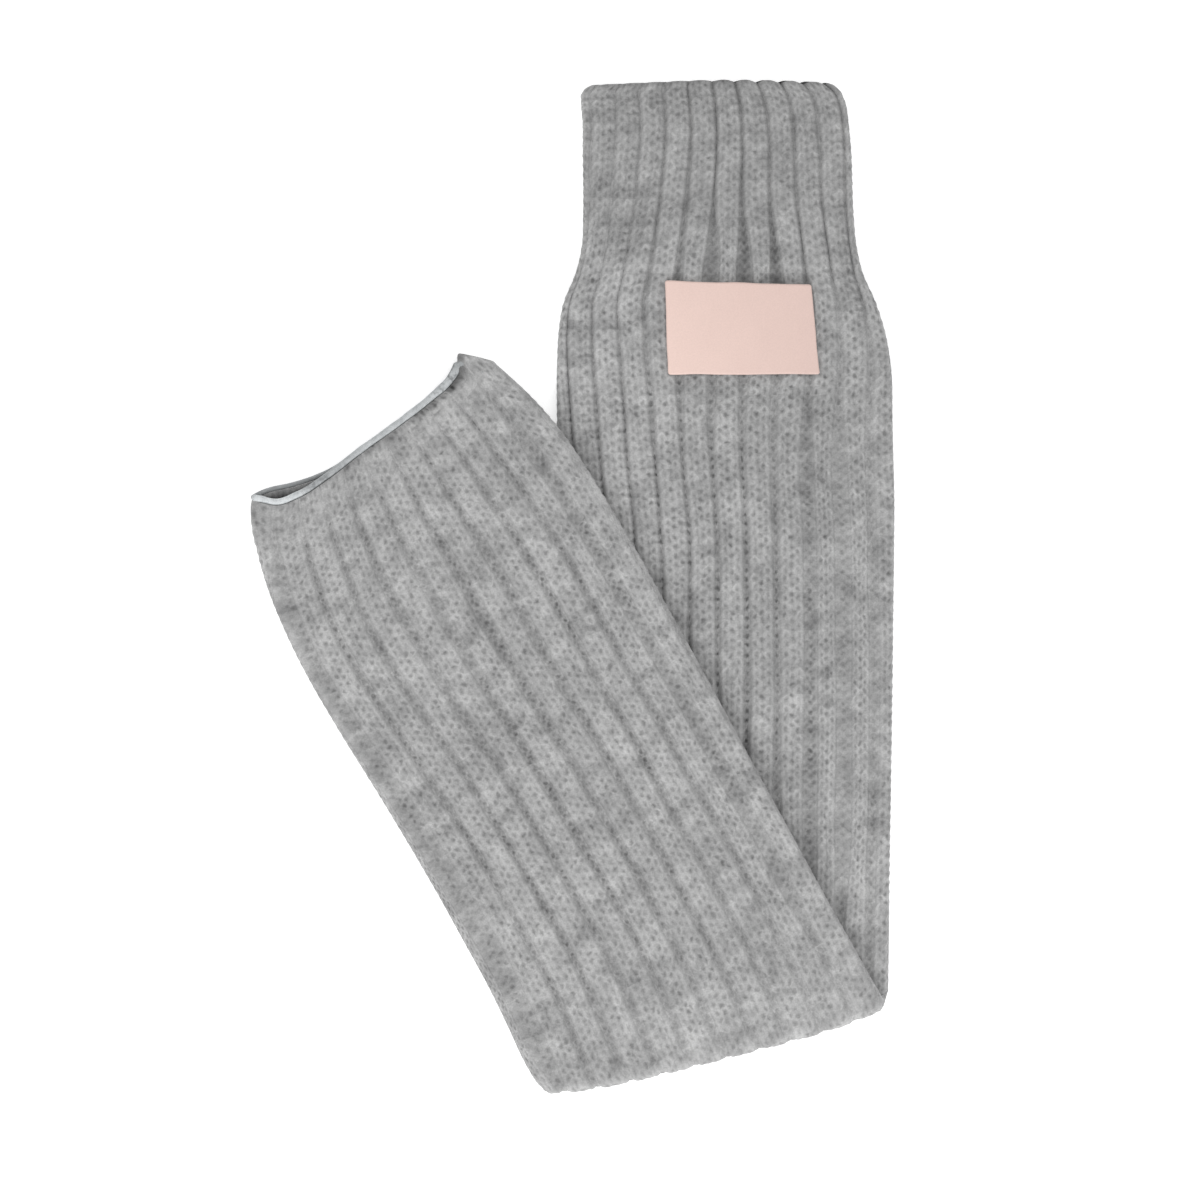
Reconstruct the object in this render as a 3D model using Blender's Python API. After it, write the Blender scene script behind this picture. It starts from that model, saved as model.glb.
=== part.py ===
"""Rib-knit leg warmer: one long hollow tube pressed flat, folded over once on a slant.

Run with: blender --background --python part.py
Units are metres and +Z is up. The tube rests on z = 0. The origin is the centre of the
plan's bounding box, at the bottom.

The tube is worked out flat first. There, "along" runs from the labelled end to the open
mouth, "across" runs left to right seen from the label's side, and "up" is the height off the
floor. fold_over() then carries every flat point round the fold and lays the second half of
the tube on the first, and down onto the floor beyond the first half's edge.
"""

from collections import namedtuple
import math

import bmesh
import bpy
from mathutils import Matrix, Vector
import numpy as np

# ---------------------------------------------------------------- knitted wall
RIBS = 22  # raised ribs round the tube
WALL = 0.0026  # inside face to rib crest
GROOVE_DEPTH = 0.0013
CREST_ROUNDING = 0.00025  # how far a crest's shoulders lie below its middle
RELIEF_START = -0.7  # tilt of the surface, from -1 underneath to 1 on top, where grooves begin
RELIEF_SPAN = 0.6  # tilt over which they reach their full depth
RELIEF_FOLD_SHARE = 0.6  # share of the fold over which the plain side takes up its grooves
HOLLOW = 0.0008  # height left inside the flattened tube
TUBE_HEIGHT = 2 * WALL + HOLLOW
LAYER_GAP = 0.0006  # between the two stretches where one lies on the other

# ---------------------------------------------------------------- fold
FOLD_ALONG = 0.3818  # where the fold starts, on the tube's axis
FOLD_SLANT = math.radians(14.6)  # fold line against straight across
FOLD_BEND = 0.0040  # radius at which the cloth keeps its length round the fold
FOLD_HEIGHT = TUBE_HEIGHT + LAYER_GAP / 2  # height of the line the tube folds round
FOLD_LENGTH = math.pi * FOLD_BEND
FOLD_STEPS = 8
FOLD_PINCH = 0.0006  # narrowing of each side at the fold's outermost line
FOLD_BULGE = 0.0047  # how far the middle of the fold stands out beyond its ends
FOLD_BULGE_SKEW = 0.10  # share by which it grows to the right
FOLD_BULGE_REACH = 0.075  # length of each stretch that is drawn along with it

# ---------------------------------------------------------------- lie of the upper stretch
DROP = TUBE_HEIGHT + LAYER_GAP
DROP_WIDTH = 0.034  # width of the slope from on top of the lower stretch to the floor
DROP_LEAD = 0.003  # the slope starts this far inside the lower stretch's edge

# ---------------------------------------------------------------- outline, flat
Outline = namedtuple("Outline", "along left right")
OUTLINE = (
    Outline(0.0000, 0.0526, 0.0448),
    Outline(0.0030, 0.0552, 0.0478),
    Outline(0.0080, 0.0556, 0.0498),
    Outline(0.0190, 0.0550, 0.0516),
    Outline(0.0300, 0.0550, 0.0526),
    Outline(0.0560, 0.0548, 0.0536),
    Outline(0.0670, 0.0552, 0.0546),
    Outline(0.0790, 0.0580, 0.0574),
    Outline(0.0900, 0.0626, 0.0624),
    Outline(0.1020, 0.0646, 0.0662),
    Outline(0.1140, 0.0652, 0.0683),
    Outline(0.1390, 0.0654, 0.0694),
    Outline(0.2200, 0.0660, 0.0694),
    Outline(0.3000, 0.0680, 0.0682),
    Outline(0.3660, 0.0700, 0.0672),
    Outline(0.4060, 0.0702, 0.0668),
    Outline(0.4220, 0.0708, 0.0668),
    Outline(0.4390, 0.0698, 0.0669),
    Outline(0.4570, 0.0690, 0.0671),
    Outline(0.4800, 0.0688, 0.0673),
    Outline(0.5140, 0.0688, 0.0677),
    Outline(0.5460, 0.0698, 0.0679),
    Outline(0.5780, 0.0712, 0.0681),
    Outline(0.6020, 0.0714, 0.0674),
    Outline(0.6180, 0.0705, 0.0667),
    Outline(0.6340, 0.0686, 0.0650),
    Outline(0.6500, 0.0651, 0.0614),
    Outline(0.6600, 0.0621, 0.0581),
    Outline(0.6660, 0.0592, 0.0556),
    Outline(0.6688, 0.0575, 0.0543),
    Outline(0.6700, 0.0564, 0.0524),
)
LENGTH = OUTLINE[-1].along

# Where the ribs lie round the tube. "turn" is in ribs, positive to the right on the label's
# side. "gather" is the share by which ribs crowd together on the label side's left half, and
# "spread" the share by which they part in the middle of each side.
RibLay = namedtuple("RibLay", "along turn gather spread")
RIB_LAY = (
    RibLay(0.000, 0.56, 0.00, 0.00),
    RibLay(0.022, 0.54, 0.00, 0.03),
    RibLay(0.046, 0.41, 0.00, 0.10),
    RibLay(0.070, 0.32, 0.00, 0.24),
    RibLay(0.105, 0.15, 0.06, 0.14),
    RibLay(0.142, 0.04, 0.12, 0.05),
    RibLay(0.190, 0.21, 0.14, 0.00),
    RibLay(0.240, 0.28, 0.10, 0.00),
    RibLay(0.340, 0.28, 0.06, 0.00),
    RibLay(0.412, 0.08, 0.00, 0.00),
    RibLay(0.510, 0.11, 0.00, 0.02),
    RibLay(0.572, 0.26, 0.00, 0.08),
    RibLay(0.605, 0.28, 0.00, 0.10),
    RibLay(0.637, 0.29, 0.00, 0.02),
    RibLay(0.670, 0.18, 0.00, 0.00),
)
GATHER_CENTRE = -3.0  # rib about which they crowd, counted from the label side's middle

# The two ends. "across" is a share of the half width, and the rest are shifts along the tube,
# "label_side" for the wall that carries the label and "plain_side" for the other.
EndCurve = namedtuple("EndCurve", "across label_side plain_side")
LABEL_END = (
    EndCurve(-1.0, 0.0034, 0.0034),
    EndCurve(-0.6, 0.0024, 0.0024),
    EndCurve(0.0, 0.0012, 0.0012),
    EndCurve(0.6, 0.0016, 0.0016),
    EndCurve(1.0, 0.0024, 0.0024),
)
MOUTH_END = (
    EndCurve(-1.00, 0.0008, 0.0008),
    EndCurve(-0.88, 0.0002, -0.0055),
    EndCurve(-0.70, -0.0027, -0.0078),
    EndCurve(-0.45, -0.0051, -0.0070),
    EndCurve(-0.15, -0.0040, -0.0045),
    EndCurve(0.20, -0.0017, -0.0023),
    EndCurve(0.51, 0.0005, 0.0001),
    EndCurve(0.70, 0.0028, 0.0024),
    EndCurve(0.78, 0.0050, 0.0046),
    EndCurve(0.84, 0.0072, 0.0070),
    EndCurve(0.90, 0.0058, 0.0057),
    EndCurve(1.00, 0.0028, 0.0028),
)
LABEL_END_REACH = 0.016  # length over which the rings take up the end's curve
MOUTH_END_REACH = 0.070

MOUTH_LIFT = 0.0036  # scale of the plain side's rise at the mouth, highest left of the middle
MOUTH_LIFT_REACH = 0.060

# ---------------------------------------------------------------- rings
# "slant" is 0 for a ring straight across and 1 for one in line with the fold.
Ring = namedtuple("Ring", "along slant rim_inset")
RINGS_BEFORE_FOLD = (
    Ring(0.0000, 0.0, 0.0009),
    Ring(0.0020, 0.0, 0.0000),
    Ring(0.0220, 0.0, 0.0),
    Ring(0.0580, 0.0, 0.0),
    Ring(0.0720, 0.0, 0.0),
    Ring(0.0840, 0.0, 0.0),
    Ring(0.0960, 0.0, 0.0),
    Ring(0.1100, 0.0, 0.0),
    Ring(0.1350, 0.0, 0.0),
    Ring(0.1900, 0.2, 0.0),
    Ring(0.2450, 0.5, 0.0),
    Ring(0.3000, 0.8, 0.0),
    Ring(0.3480, 1.0, 0.0),
    Ring(0.3740, 1.0, 0.0),
)
RINGS_AFTER_FOLD = (
    Ring(0.4060, 1.0, 0.0),
    Ring(0.4260, 1.0, 0.0),
    Ring(0.4480, 0.9, 0.0),
    Ring(0.4720, 0.8, 0.0),
    Ring(0.4960, 0.7, 0.0),
    Ring(0.5200, 0.6, 0.0),
    Ring(0.5440, 0.5, 0.0),
    Ring(0.5680, 0.4, 0.0),
    Ring(0.5920, 0.3, 0.0),
    Ring(0.6140, 0.15, 0.0),
    Ring(0.6320, 0.05, 0.0),
    Ring(0.6460, 0.0, 0.0),
    Ring(0.6560, 0.0, 0.0),
    Ring(0.6635, 0.0, 0.0),
    Ring(0.6680, 0.0, 0.0),
    Ring(0.6700, 0.0, 0.0004),
)
# Points on one rib: share of a rib from its middle, and depth below the crest.
RibPoint = namedtuple("RibPoint", "share depth")
RIB_POINTS = (
    RibPoint(-0.34, CREST_ROUNDING),
    RibPoint(0.00, 0.0),
    RibPoint(0.34, CREST_ROUNDING),
    RibPoint(0.43, GROOVE_DEPTH),
    RibPoint(0.57, GROOVE_DEPTH),
)
INNER_POINTS = 30

# ---------------------------------------------------------------- sewn and bound pieces
Corner = namedtuple("Corner", "across along")
LABEL_TOP = (Corner(-0.0223, 0.0814), Corner(0.0365, 0.0829))  # left and right
LABEL_BOTTOM = (Corner(-0.0211, 0.1193), Corner(0.0401, 0.1193))
LABEL_THICKNESS = 0.0010
LABEL_RIPPLE = 0.00015  # the ribs below show through as a faint ripple
LABEL_COLUMNS = 24
LABEL_ROWS = 6
SEAM_GAP = 0.0003
EDGING_WIDTH = 0.0028  # along the tube
EDGING_THICKNESS = 0.0024
EDGING_CLEARANCE = 0.00072  # over a seam's gap, as the mouth's steep corners take up part of it
EDGING_SIDES = 8
EDGING_STRAIGHT_POINTS = 40
EDGING_TURN_POINTS = 5
CREASE_ANGLE = math.radians(50)  # edges sharper than this are shaded as creases


def smooth_step(value):
    """0 below 0, 1 above 1 and an S-shaped rise between."""
    clipped = np.clip(value, 0.0, 1.0)
    return clipped * clipped * (3.0 - 2.0 * clipped)


def column(table, x_name, y_name, x):
    """The named column of a table at x, on a smooth curve through its rows."""
    xs = np.array([getattr(row, x_name) for row in table])
    ys = np.array([getattr(row, y_name) for row in table])
    slopes = np.gradient(ys, xs)
    i = np.clip(np.searchsorted(xs, x) - 1, 0, len(xs) - 2)
    width = xs[i + 1] - xs[i]
    t = np.clip((x - xs[i]) / width, 0.0, 1.0)
    values = ys[i] * (1 + 2 * t) * (1 - t) ** 2 + ys[i + 1] * t**2 * (3 - 2 * t)
    return values + width * t * (1 - t) * (slopes[i] * (1 - t) - slopes[i + 1] * t)


FOLD_HALF_WIDTH = column(OUTLINE, "along", "left", FOLD_ALONG)


def flat_loop(share, left, right, height):
    """Points and outward normals (across, up) on a flattened loop with half-round sides.

    share runs from 0 to 1 round the loop from the middle of its upper side, to the right.
    """
    radius = height / 2
    middle = (right - left) / 2
    half_straight = (left + right) / 2 - radius
    turn = math.pi * radius
    distance = np.mod(share, 1.0) * (4 * half_straight + 2 * turn)
    ends = np.cumsum([half_straight, turn, 2 * half_straight, turn])
    on_top_right = distance < ends[0]
    on_right = (distance >= ends[0]) & (distance < ends[1])
    on_bottom = (distance >= ends[1]) & (distance < ends[2])
    on_left = (distance >= ends[2]) & (distance < ends[3])
    angle = np.select(
        [on_right, on_bottom, on_left],
        [(distance - ends[0]) / radius, math.pi, math.pi + (distance - ends[2]) / radius],
        0.0,
    )
    centre = np.select(
        [on_top_right, on_right, on_bottom, on_left],
        [distance, half_straight, half_straight - (distance - ends[1]), -half_straight],
        distance - ends[3] - half_straight,
    )
    normal = np.stack([np.sin(angle), np.cos(angle)], axis=-1)
    across = middle + centre + radius * normal[:, 0]
    up = radius + radius * normal[:, 1]
    return across, up, normal


def side_share(across, left, right):
    """Place between the two edges, -1 at the left one and 1 at the right one."""
    return np.clip(np.where(across < 0, across / left, across / right), -1.0, 1.0)


def rib_share(ribs, along):
    """Share of the way round the tube at which a rib coordinate lies at a place along it."""
    turn, gather, spread = (column(RIB_LAY, "along", name, along) for name in ("turn", "gather", "spread"))
    phase = 2 * math.pi / RIBS
    crowd = np.sin(phase * (ribs - GATHER_CENTRE)) - math.sin(-phase * GATHER_CENTRE)
    part = np.sin(2 * phase * ribs)
    return (ribs + turn) / RIBS - gather * crowd / (2 * math.pi) + spread * part / (4 * math.pi)


def past_fold(across, along):
    """Distance past the line where the fold starts, square to that line."""
    return (along - FOLD_ALONG) * math.cos(FOLD_SLANT) + across * math.sin(FOLD_SLANT)


def fold_bulge(across, past):
    """How far the cloth is drawn out beyond the fold line, most in its middle."""
    from_crest = np.abs(past - FOLD_LENGTH / 2) - FOLD_LENGTH / 2
    share = np.clip(across / FOLD_HALF_WIDTH, -1.0, 1.0)
    shape = (1 - share**4) * (1 + FOLD_BULGE_SKEW * share)
    return FOLD_BULGE * shape * smooth_step(1 - from_crest / FOLD_BULGE_REACH)


def rib_relief(normal_up, past):
    """Share of the full groove depth: none on the sides that rest, full on those that show."""
    label_side = smooth_step((normal_up - RELIEF_START) / RELIEF_SPAN)
    plain_side = smooth_step((-normal_up - RELIEF_START) / RELIEF_SPAN)
    folded = smooth_step(past / (RELIEF_FOLD_SHARE * FOLD_LENGTH))
    return label_side * (1 - folded) + plain_side * folded


def end_shift(across, up, left, right, along):
    """Shift along the tube that gives the two ends their curves."""
    share = side_share(across, left, right)
    label_weight = smooth_step((up - WALL) / HOLLOW)
    shift = np.zeros_like(share)
    ends = ((LABEL_END, along, LABEL_END_REACH), (MOUTH_END, LENGTH - along, MOUTH_END_REACH))
    for table, distance, reach in ends:
        weight = smooth_step(1 - distance / reach)
        label_side = column(table, "across", "label_side", share)
        plain_side = column(table, "across", "plain_side", share)
        shift += weight * (plain_side + (label_side - plain_side) * label_weight)
    return shift


def mouth_lift(across, up, left, right, along):
    """Rise of the plain side away from the label side near the mouth."""
    share = side_share(across, left, right)
    wall = 1 - smooth_step((up - WALL) / HOLLOW)
    reach = smooth_step(1 - (LENGTH - along) / MOUTH_LIFT_REACH)
    return MOUTH_LIFT * wall * reach * (1 - share**2) * (1 - share) / 2


def lower_edge(y):
    """X of the lower stretch's left edge, in the frame of the tube's axis."""
    return -column(OUTLINE, "along", "left", -y)


def fold_over(across, along, up):
    """Carries flat points round the fold and lays the upper stretch down, in the axis frame."""
    cos_slant, sin_slant = math.cos(FOLD_SLANT), math.sin(FOLD_SLANT)
    past = past_fold(across, along)
    beside = across * cos_slant - (along - FOLD_ALONG) * sin_slant
    angle = np.clip(past, 0.0, FOLD_LENGTH) / FOLD_BEND
    radius = FOLD_HEIGHT - up
    forward = np.where(past <= 0, past, radius * np.sin(angle))
    forward = np.where(past >= FOLD_LENGTH, FOLD_LENGTH - past, forward)
    forward = forward + fold_bulge(across, past)
    height = FOLD_HEIGHT - radius * np.cos(angle)
    x = beside * cos_slant + forward * sin_slant
    y = -FOLD_ALONG + beside * sin_slant - forward * cos_slant
    beyond = lower_edge(y) - x + DROP_LEAD
    on_upper = smooth_step((past - FOLD_LENGTH / 2) / FOLD_LENGTH)
    height = height - DROP * smooth_step(beyond / DROP_WIDTH) * on_upper
    return np.stack([x, y, height], axis=-1)


def half_widths(ring, inset):
    """Half widths of a ring, read where its slanted line meets each edge."""
    slope = ring.slant * math.tan(FOLD_SLANT)
    left = column(OUTLINE, "along", "left", ring.along)
    right = column(OUTLINE, "along", "right", ring.along)
    left = column(OUTLINE, "along", "left", ring.along + slope * left)
    right = column(OUTLINE, "along", "right", ring.along - slope * right)
    bend = (ring.along - FOLD_ALONG) * math.cos(FOLD_SLANT) / FOLD_BEND
    pinch = FOLD_PINCH * math.sin(bend) if 0 < bend < math.pi else 0.0
    return left - inset - pinch, right - inset - pinch


def ring_points(ring, share, inset, depth, beyond=0.0):
    """Points of one ring round the tube, inset from the crest loop and sunk by depth.

    beyond moves them further along the tube than the ring itself.
    """
    left, right = half_widths(ring, inset)
    across, up, normal = flat_loop(share, left, right, TUBE_HEIGHT - 2 * inset)
    up = up + inset
    along = ring.along - ring.slant * math.tan(FOLD_SLANT) * across
    sunk = depth * rib_relief(normal[:, 1], past_fold(across, along))
    across = across - sunk * normal[:, 0]
    up = up - sunk * normal[:, 1]
    shift = end_shift(across, up, left, right, ring.along)
    lift = mouth_lift(across, up, left, right, ring.along)
    return fold_over(across, along + shift + beyond, up - lift)


def all_rings():
    """Every ring from the labelled end to the mouth, with those round the fold worked out."""
    step = FOLD_LENGTH / FOLD_STEPS / math.cos(FOLD_SLANT)
    fold = [Ring(FOLD_ALONG + step * n, 1.0, 0.0) for n in range(FOLD_STEPS + 1)]
    return [*RINGS_BEFORE_FOLD, *fold, *RINGS_AFTER_FOLD]


def outer_ring(ring):
    """Ribbed outer points of a ring."""
    ribs = np.array([rib + point.share for rib in range(RIBS) for point in RIB_POINTS])
    depth = np.array([point.depth for _ in range(RIBS) for point in RIB_POINTS])
    share = rib_share(ribs, ring.along)
    return ring_points(ring, share, ring.rim_inset, depth), share


def inner_ring(ring):
    """Plain inner points of a ring."""
    share = (np.arange(INNER_POINTS) + 0.5) / INNER_POINTS
    return ring_points(ring, share, WALL, 0.0), share


def zip_loops(first, second, first_share, second_share):
    """Triangles that join two closed loops of vertices with different counts."""
    first_share = np.mod(first_share, 1.0)
    second_share = np.mod(second_share, 1.0)
    i = int(np.argmin(first_share))
    j = int(np.argmin(second_share))
    steps_first, steps_second = 0, 0
    faces = []
    while steps_first < len(first) or steps_second < len(second):
        next_first = (i + 1) % len(first)
        next_second = (j + 1) % len(second)
        reach_first = first_share[next_first] + (steps_first + 1 >= len(first))
        reach_second = second_share[next_second] + (steps_second + 1 >= len(second))
        take_first = steps_second >= len(second) or (steps_first < len(first) and reach_first <= reach_second)
        if take_first:
            faces.append((first[i], first[next_first], second[j]))
            i = next_first
            steps_first += 1
        else:
            faces.append((first[i], second[next_second], second[j]))
            j = next_second
            steps_second += 1
    return faces


def add_skin(mesh, rings):
    """Adds rings of points to a bmesh and skins them with quads. Returns the first and last loop."""
    loops = [[mesh.verts.new(point) for point in ring] for ring in rings]
    for lower, upper in zip(loops, loops[1:]):
        for i in range(len(lower)):
            j = (i + 1) % len(lower)
            mesh.faces.new((lower[i], lower[j], upper[j], upper[i]))
    return loops[0], loops[-1]


def make_object(name, mesh, material):
    """Turns a bmesh into an object with outward faces, smooth but for its creases."""
    bmesh.ops.recalc_face_normals(mesh, faces=mesh.faces)
    data = bpy.data.meshes.new(name)
    mesh.to_mesh(data)
    mesh.free()
    data.materials.append(material)
    data.shade_smooth()
    data.set_sharp_from_angle(angle=CREASE_ANGLE)
    built = bpy.data.objects.new(name, data)
    bpy.context.scene.collection.objects.link(built)
    return built


def make_material(name, colour, roughness):
    """A Principled material with a plain colour."""
    material = bpy.data.materials.new(name)
    material.use_nodes = True
    shader = material.node_tree.nodes["Principled BSDF"]
    shader.inputs["Base Color"].default_value = (*colour, 1.0)
    shader.inputs["Roughness"].default_value = roughness
    shader.inputs["Metallic"].default_value = 0.0
    return material


def build_tube(material):
    """The knitted tube: a ribbed outside over a plain inside, open at both ends."""
    rings = all_rings()
    outer = [outer_ring(ring) for ring in rings]
    inner = [inner_ring(ring) for ring in rings]
    mesh = bmesh.new()
    outer_ends = add_skin(mesh, [points for points, _ in outer])
    inner_ends = add_skin(mesh, [points for points, _ in inner])
    for end in (0, -1):
        for face in zip_loops(outer_ends[end], inner_ends[end], outer[end][1], inner[end][1]):
            mesh.faces.new(face)
    return make_object("ribbed_tube", mesh, material)


def unit(vectors):
    """Rows of vectors brought to length one."""
    return vectors / np.linalg.norm(vectors, axis=1)[:, None]


def edging_shares(left, right, height):
    """Shares round the mouth's loop, close together on its two turns."""
    radius = height / 2
    straight = left + right - height
    turn = math.pi * radius
    whole = 2 * straight + 2 * turn
    shares = []
    for start in (straight / 2, straight / 2 + turn + straight):
        shares += [(start + turn * n / EDGING_TURN_POINTS) / whole for n in range(EDGING_TURN_POINTS)]
        after = start + turn
        step = straight / EDGING_STRAIGHT_POINTS
        shares += [(after + step * n) / whole for n in range(EDGING_STRAIGHT_POINTS)]
    return np.array(shares)


def build_edging(material):
    """The rolled edging round the mouth, a closed tube just clear of the wall's end."""
    rim = RINGS_AFTER_FOLD[-1]
    inset = WALL / 2
    left, right = half_widths(rim, inset)
    share = edging_shares(left, right, TUBE_HEIGHT - 2 * inset)
    at_rim = ring_points(rim, share, inset, 0.0)
    ahead = unit(np.roll(at_rim, -1, axis=0) - np.roll(at_rim, 1, axis=0))
    outward = ring_points(rim, share, inset, 0.0, beyond=EDGING_WIDTH / 2) - at_rim
    outward = unit(outward - np.sum(outward * ahead, axis=1)[:, None] * ahead)
    centre = at_rim + outward * (EDGING_WIDTH / 2 + EDGING_CLEARANCE)
    ahead = unit(np.roll(centre, -1, axis=0) - np.roll(centre, 1, axis=0))
    thick = EDGING_THICKNESS / 2 * unit(np.cross(ahead, outward))
    wide = EDGING_WIDTH / 2 * unit(np.cross(thick, ahead))
    mesh = bmesh.new()
    loops = []
    for n in range(EDGING_SIDES):
        angle = 2 * math.pi * (n + 0.5) / EDGING_SIDES
        ring = centre + math.cos(angle) * thick + math.sin(angle) * wide
        loops.append([mesh.verts.new(point) for point in ring])
    for n in range(EDGING_SIDES):
        this, after = loops[n], loops[(n + 1) % EDGING_SIDES]
        for i in range(len(this)):
            j = (i + 1) % len(this)
            mesh.faces.new((this[i], this[j], after[j], after[i]))
    return make_object("mouth_edging", mesh, material)


def label_sheet(height):
    """A grid of label points at a height over the crests, as rows of points."""
    right = np.linspace(0.0, 1.0, LABEL_COLUMNS + 1)[:, None]
    top = np.array(LABEL_TOP[0]) * (1 - right) + np.array(LABEL_TOP[1]) * right
    bottom = np.array(LABEL_BOTTOM[0]) * (1 - right) + np.array(LABEL_BOTTOM[1]) * right
    rows = []
    for down in np.linspace(0.0, 1.0, LABEL_ROWS + 1):
        across, along = (top * (1 - down) + bottom * down).T
        rib_pitch = 2 * sum(column(OUTLINE, "along", side, along) for side in ("left", "right")) / RIBS
        ripple = LABEL_RIPPLE * (1 + np.cos(2 * math.pi * across / rib_pitch))
        rows.append(fold_over(across, along, TUBE_HEIGHT + height + ripple))
    return rows


def build_label(material):
    """The sewn-on label, a thin plate that follows the ribs it lies on."""
    mesh = bmesh.new()
    sheets = []
    for height in (SEAM_GAP, SEAM_GAP + LABEL_THICKNESS):
        sheets.append([[mesh.verts.new(point) for point in row] for row in label_sheet(height)])
    under, over = sheets
    for sheet in sheets:
        for first, second in zip(sheet, sheet[1:]):
            for i in range(LABEL_COLUMNS):
                mesh.faces.new((first[i], first[i + 1], second[i + 1], second[i]))
    borders = []
    for sheet in (under, over):
        right = [row[-1] for row in sheet[1:-1]]
        left = [row[0] for row in sheet[1:-1]]
        borders.append([*sheet[0], *right, *reversed(sheet[-1]), *reversed(left)])
    low, high = borders
    for i in range(len(low)):
        j = (i + 1) % len(low)
        mesh.faces.new((low[i], low[j], high[j], high[i]))
    return make_object("label", mesh, material)


def centre_on_origin(objects):
    """Moves all meshes so that the plan's box is centred on the origin, resting on z = 0."""
    points = np.array([vertex.co for item in objects for vertex in item.data.vertices])
    low, high = points.min(axis=0), points.max(axis=0)
    offset = Vector((-(low[0] + high[0]) / 2, -(low[1] + high[1]) / 2, -low[2]))
    for item in objects:
        item.data.transform(Matrix.Translation(offset))


def main():
    """Builds the leg warmer in an empty scene."""
    for leftover in list(bpy.data.objects):
        bpy.data.objects.remove(leftover)
    knit = make_material("grey_knit", (0.36, 0.36, 0.36), 0.95)
    pale = make_material("pale_edging", (0.60, 0.63, 0.64), 0.6)
    pink = make_material("pink_satin", (0.85, 0.63, 0.57), 0.5)
    centre_on_origin([build_tube(knit), build_edging(pale), build_label(pink)])


main()
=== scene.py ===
"""Looks of a long rib-knit leg warmer that lies flat, folded over once on a slant.

The knitted tube is worked out flat and then carried round its fold. In the flat, "along" runs
from the labelled cuff to the open mouth, "across" from left to right seen from the label's
side, and "up" is the height off the floor. Stitches are placed in their own coordinates,
"wale" round the tube and "row" along it, so ribs, stitches and yarn colour follow the cloth.
All sizes are metres, and +Z is up.
"""

from __future__ import annotations

import logging
import math
from dataclasses import dataclass, field
from enum import Enum

import bpy
import numpy as np
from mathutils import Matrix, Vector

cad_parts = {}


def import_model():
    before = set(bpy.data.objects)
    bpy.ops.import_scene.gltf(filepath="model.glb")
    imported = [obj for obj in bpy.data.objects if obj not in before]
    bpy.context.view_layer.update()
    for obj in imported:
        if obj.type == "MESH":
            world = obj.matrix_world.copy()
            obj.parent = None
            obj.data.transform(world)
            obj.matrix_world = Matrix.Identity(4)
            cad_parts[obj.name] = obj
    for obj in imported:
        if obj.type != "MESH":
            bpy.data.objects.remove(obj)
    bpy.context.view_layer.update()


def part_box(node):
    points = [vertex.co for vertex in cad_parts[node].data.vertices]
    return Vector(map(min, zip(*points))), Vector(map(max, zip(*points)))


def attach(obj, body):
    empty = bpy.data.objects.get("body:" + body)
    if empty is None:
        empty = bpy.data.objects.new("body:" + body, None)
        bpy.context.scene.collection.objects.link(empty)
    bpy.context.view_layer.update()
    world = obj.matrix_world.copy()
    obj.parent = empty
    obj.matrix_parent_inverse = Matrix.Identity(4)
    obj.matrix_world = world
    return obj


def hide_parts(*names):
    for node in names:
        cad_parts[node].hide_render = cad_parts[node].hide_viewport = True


LOG = logging.getLogger("leg_warmer")
Array = np.ndarray
Pair = tuple[float, float]
Colour = tuple[float, float, float]
Inputs = dict[str | int, object]
Material = bpy.types.Material
Node = bpy.types.Node
Socket = bpy.types.NodeSocket
Thing = bpy.types.Object
MILLIMETRES = 1000.0
WALES = 3  # to a rib: two of knit and one of purl
KNIT_WALES = 2
CAD_LABEL_PANELS = (24, 6)  # across and down
SQUARE_CORNER = 1e-9


class Wall(Enum):
    """The two walls of the flattened tube."""

    LABEL = "label side, on top before the fold"
    PLAIN = "plain side, on top after the fold"


# ------------------------------------------------------------------------- mathematics


def smooth_step(value: Array) -> Array:
    """Gives 0 below 0, 1 above 1 and an S-shaped rise between.

    Args:
        value: Numbers of any shape.

    Returns:
        3v^2 - 2v^3 of each number, clipped to 0..1.
    """
    clipped = np.clip(value, 0.0, 1.0)
    return clipped * clipped * (3.0 - 2.0 * clipped)


def eased(value: Array, start: float, span: float) -> Array:
    """Rises smoothly from 0 at the start to 1 a span further on."""
    return smooth_step((value - start) / span)


def fading(distance: Array, reach: float) -> Array:
    """Falls smoothly from 1 at no distance to 0 at the reach."""
    return smooth_step(1 - distance / reach)


def blend(low: Array | float, high: Array | float, share: Array) -> Array:
    """Goes from low, at a share of 0, to high, at a share of 1, in a straight line."""
    return low + (high - low) * share


def unit(vectors: Array) -> Array:
    """Brings vectors, along the last axis, to length one."""
    return vectors / np.linalg.norm(vectors, axis=-1, keepdims=True)


def along_loop(points: Array) -> Array:
    """Directions along a closed loop: at each point, from the one before to the one after."""
    return unit(np.roll(points, -1, axis=0) - np.roll(points, 1, axis=0))


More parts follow.
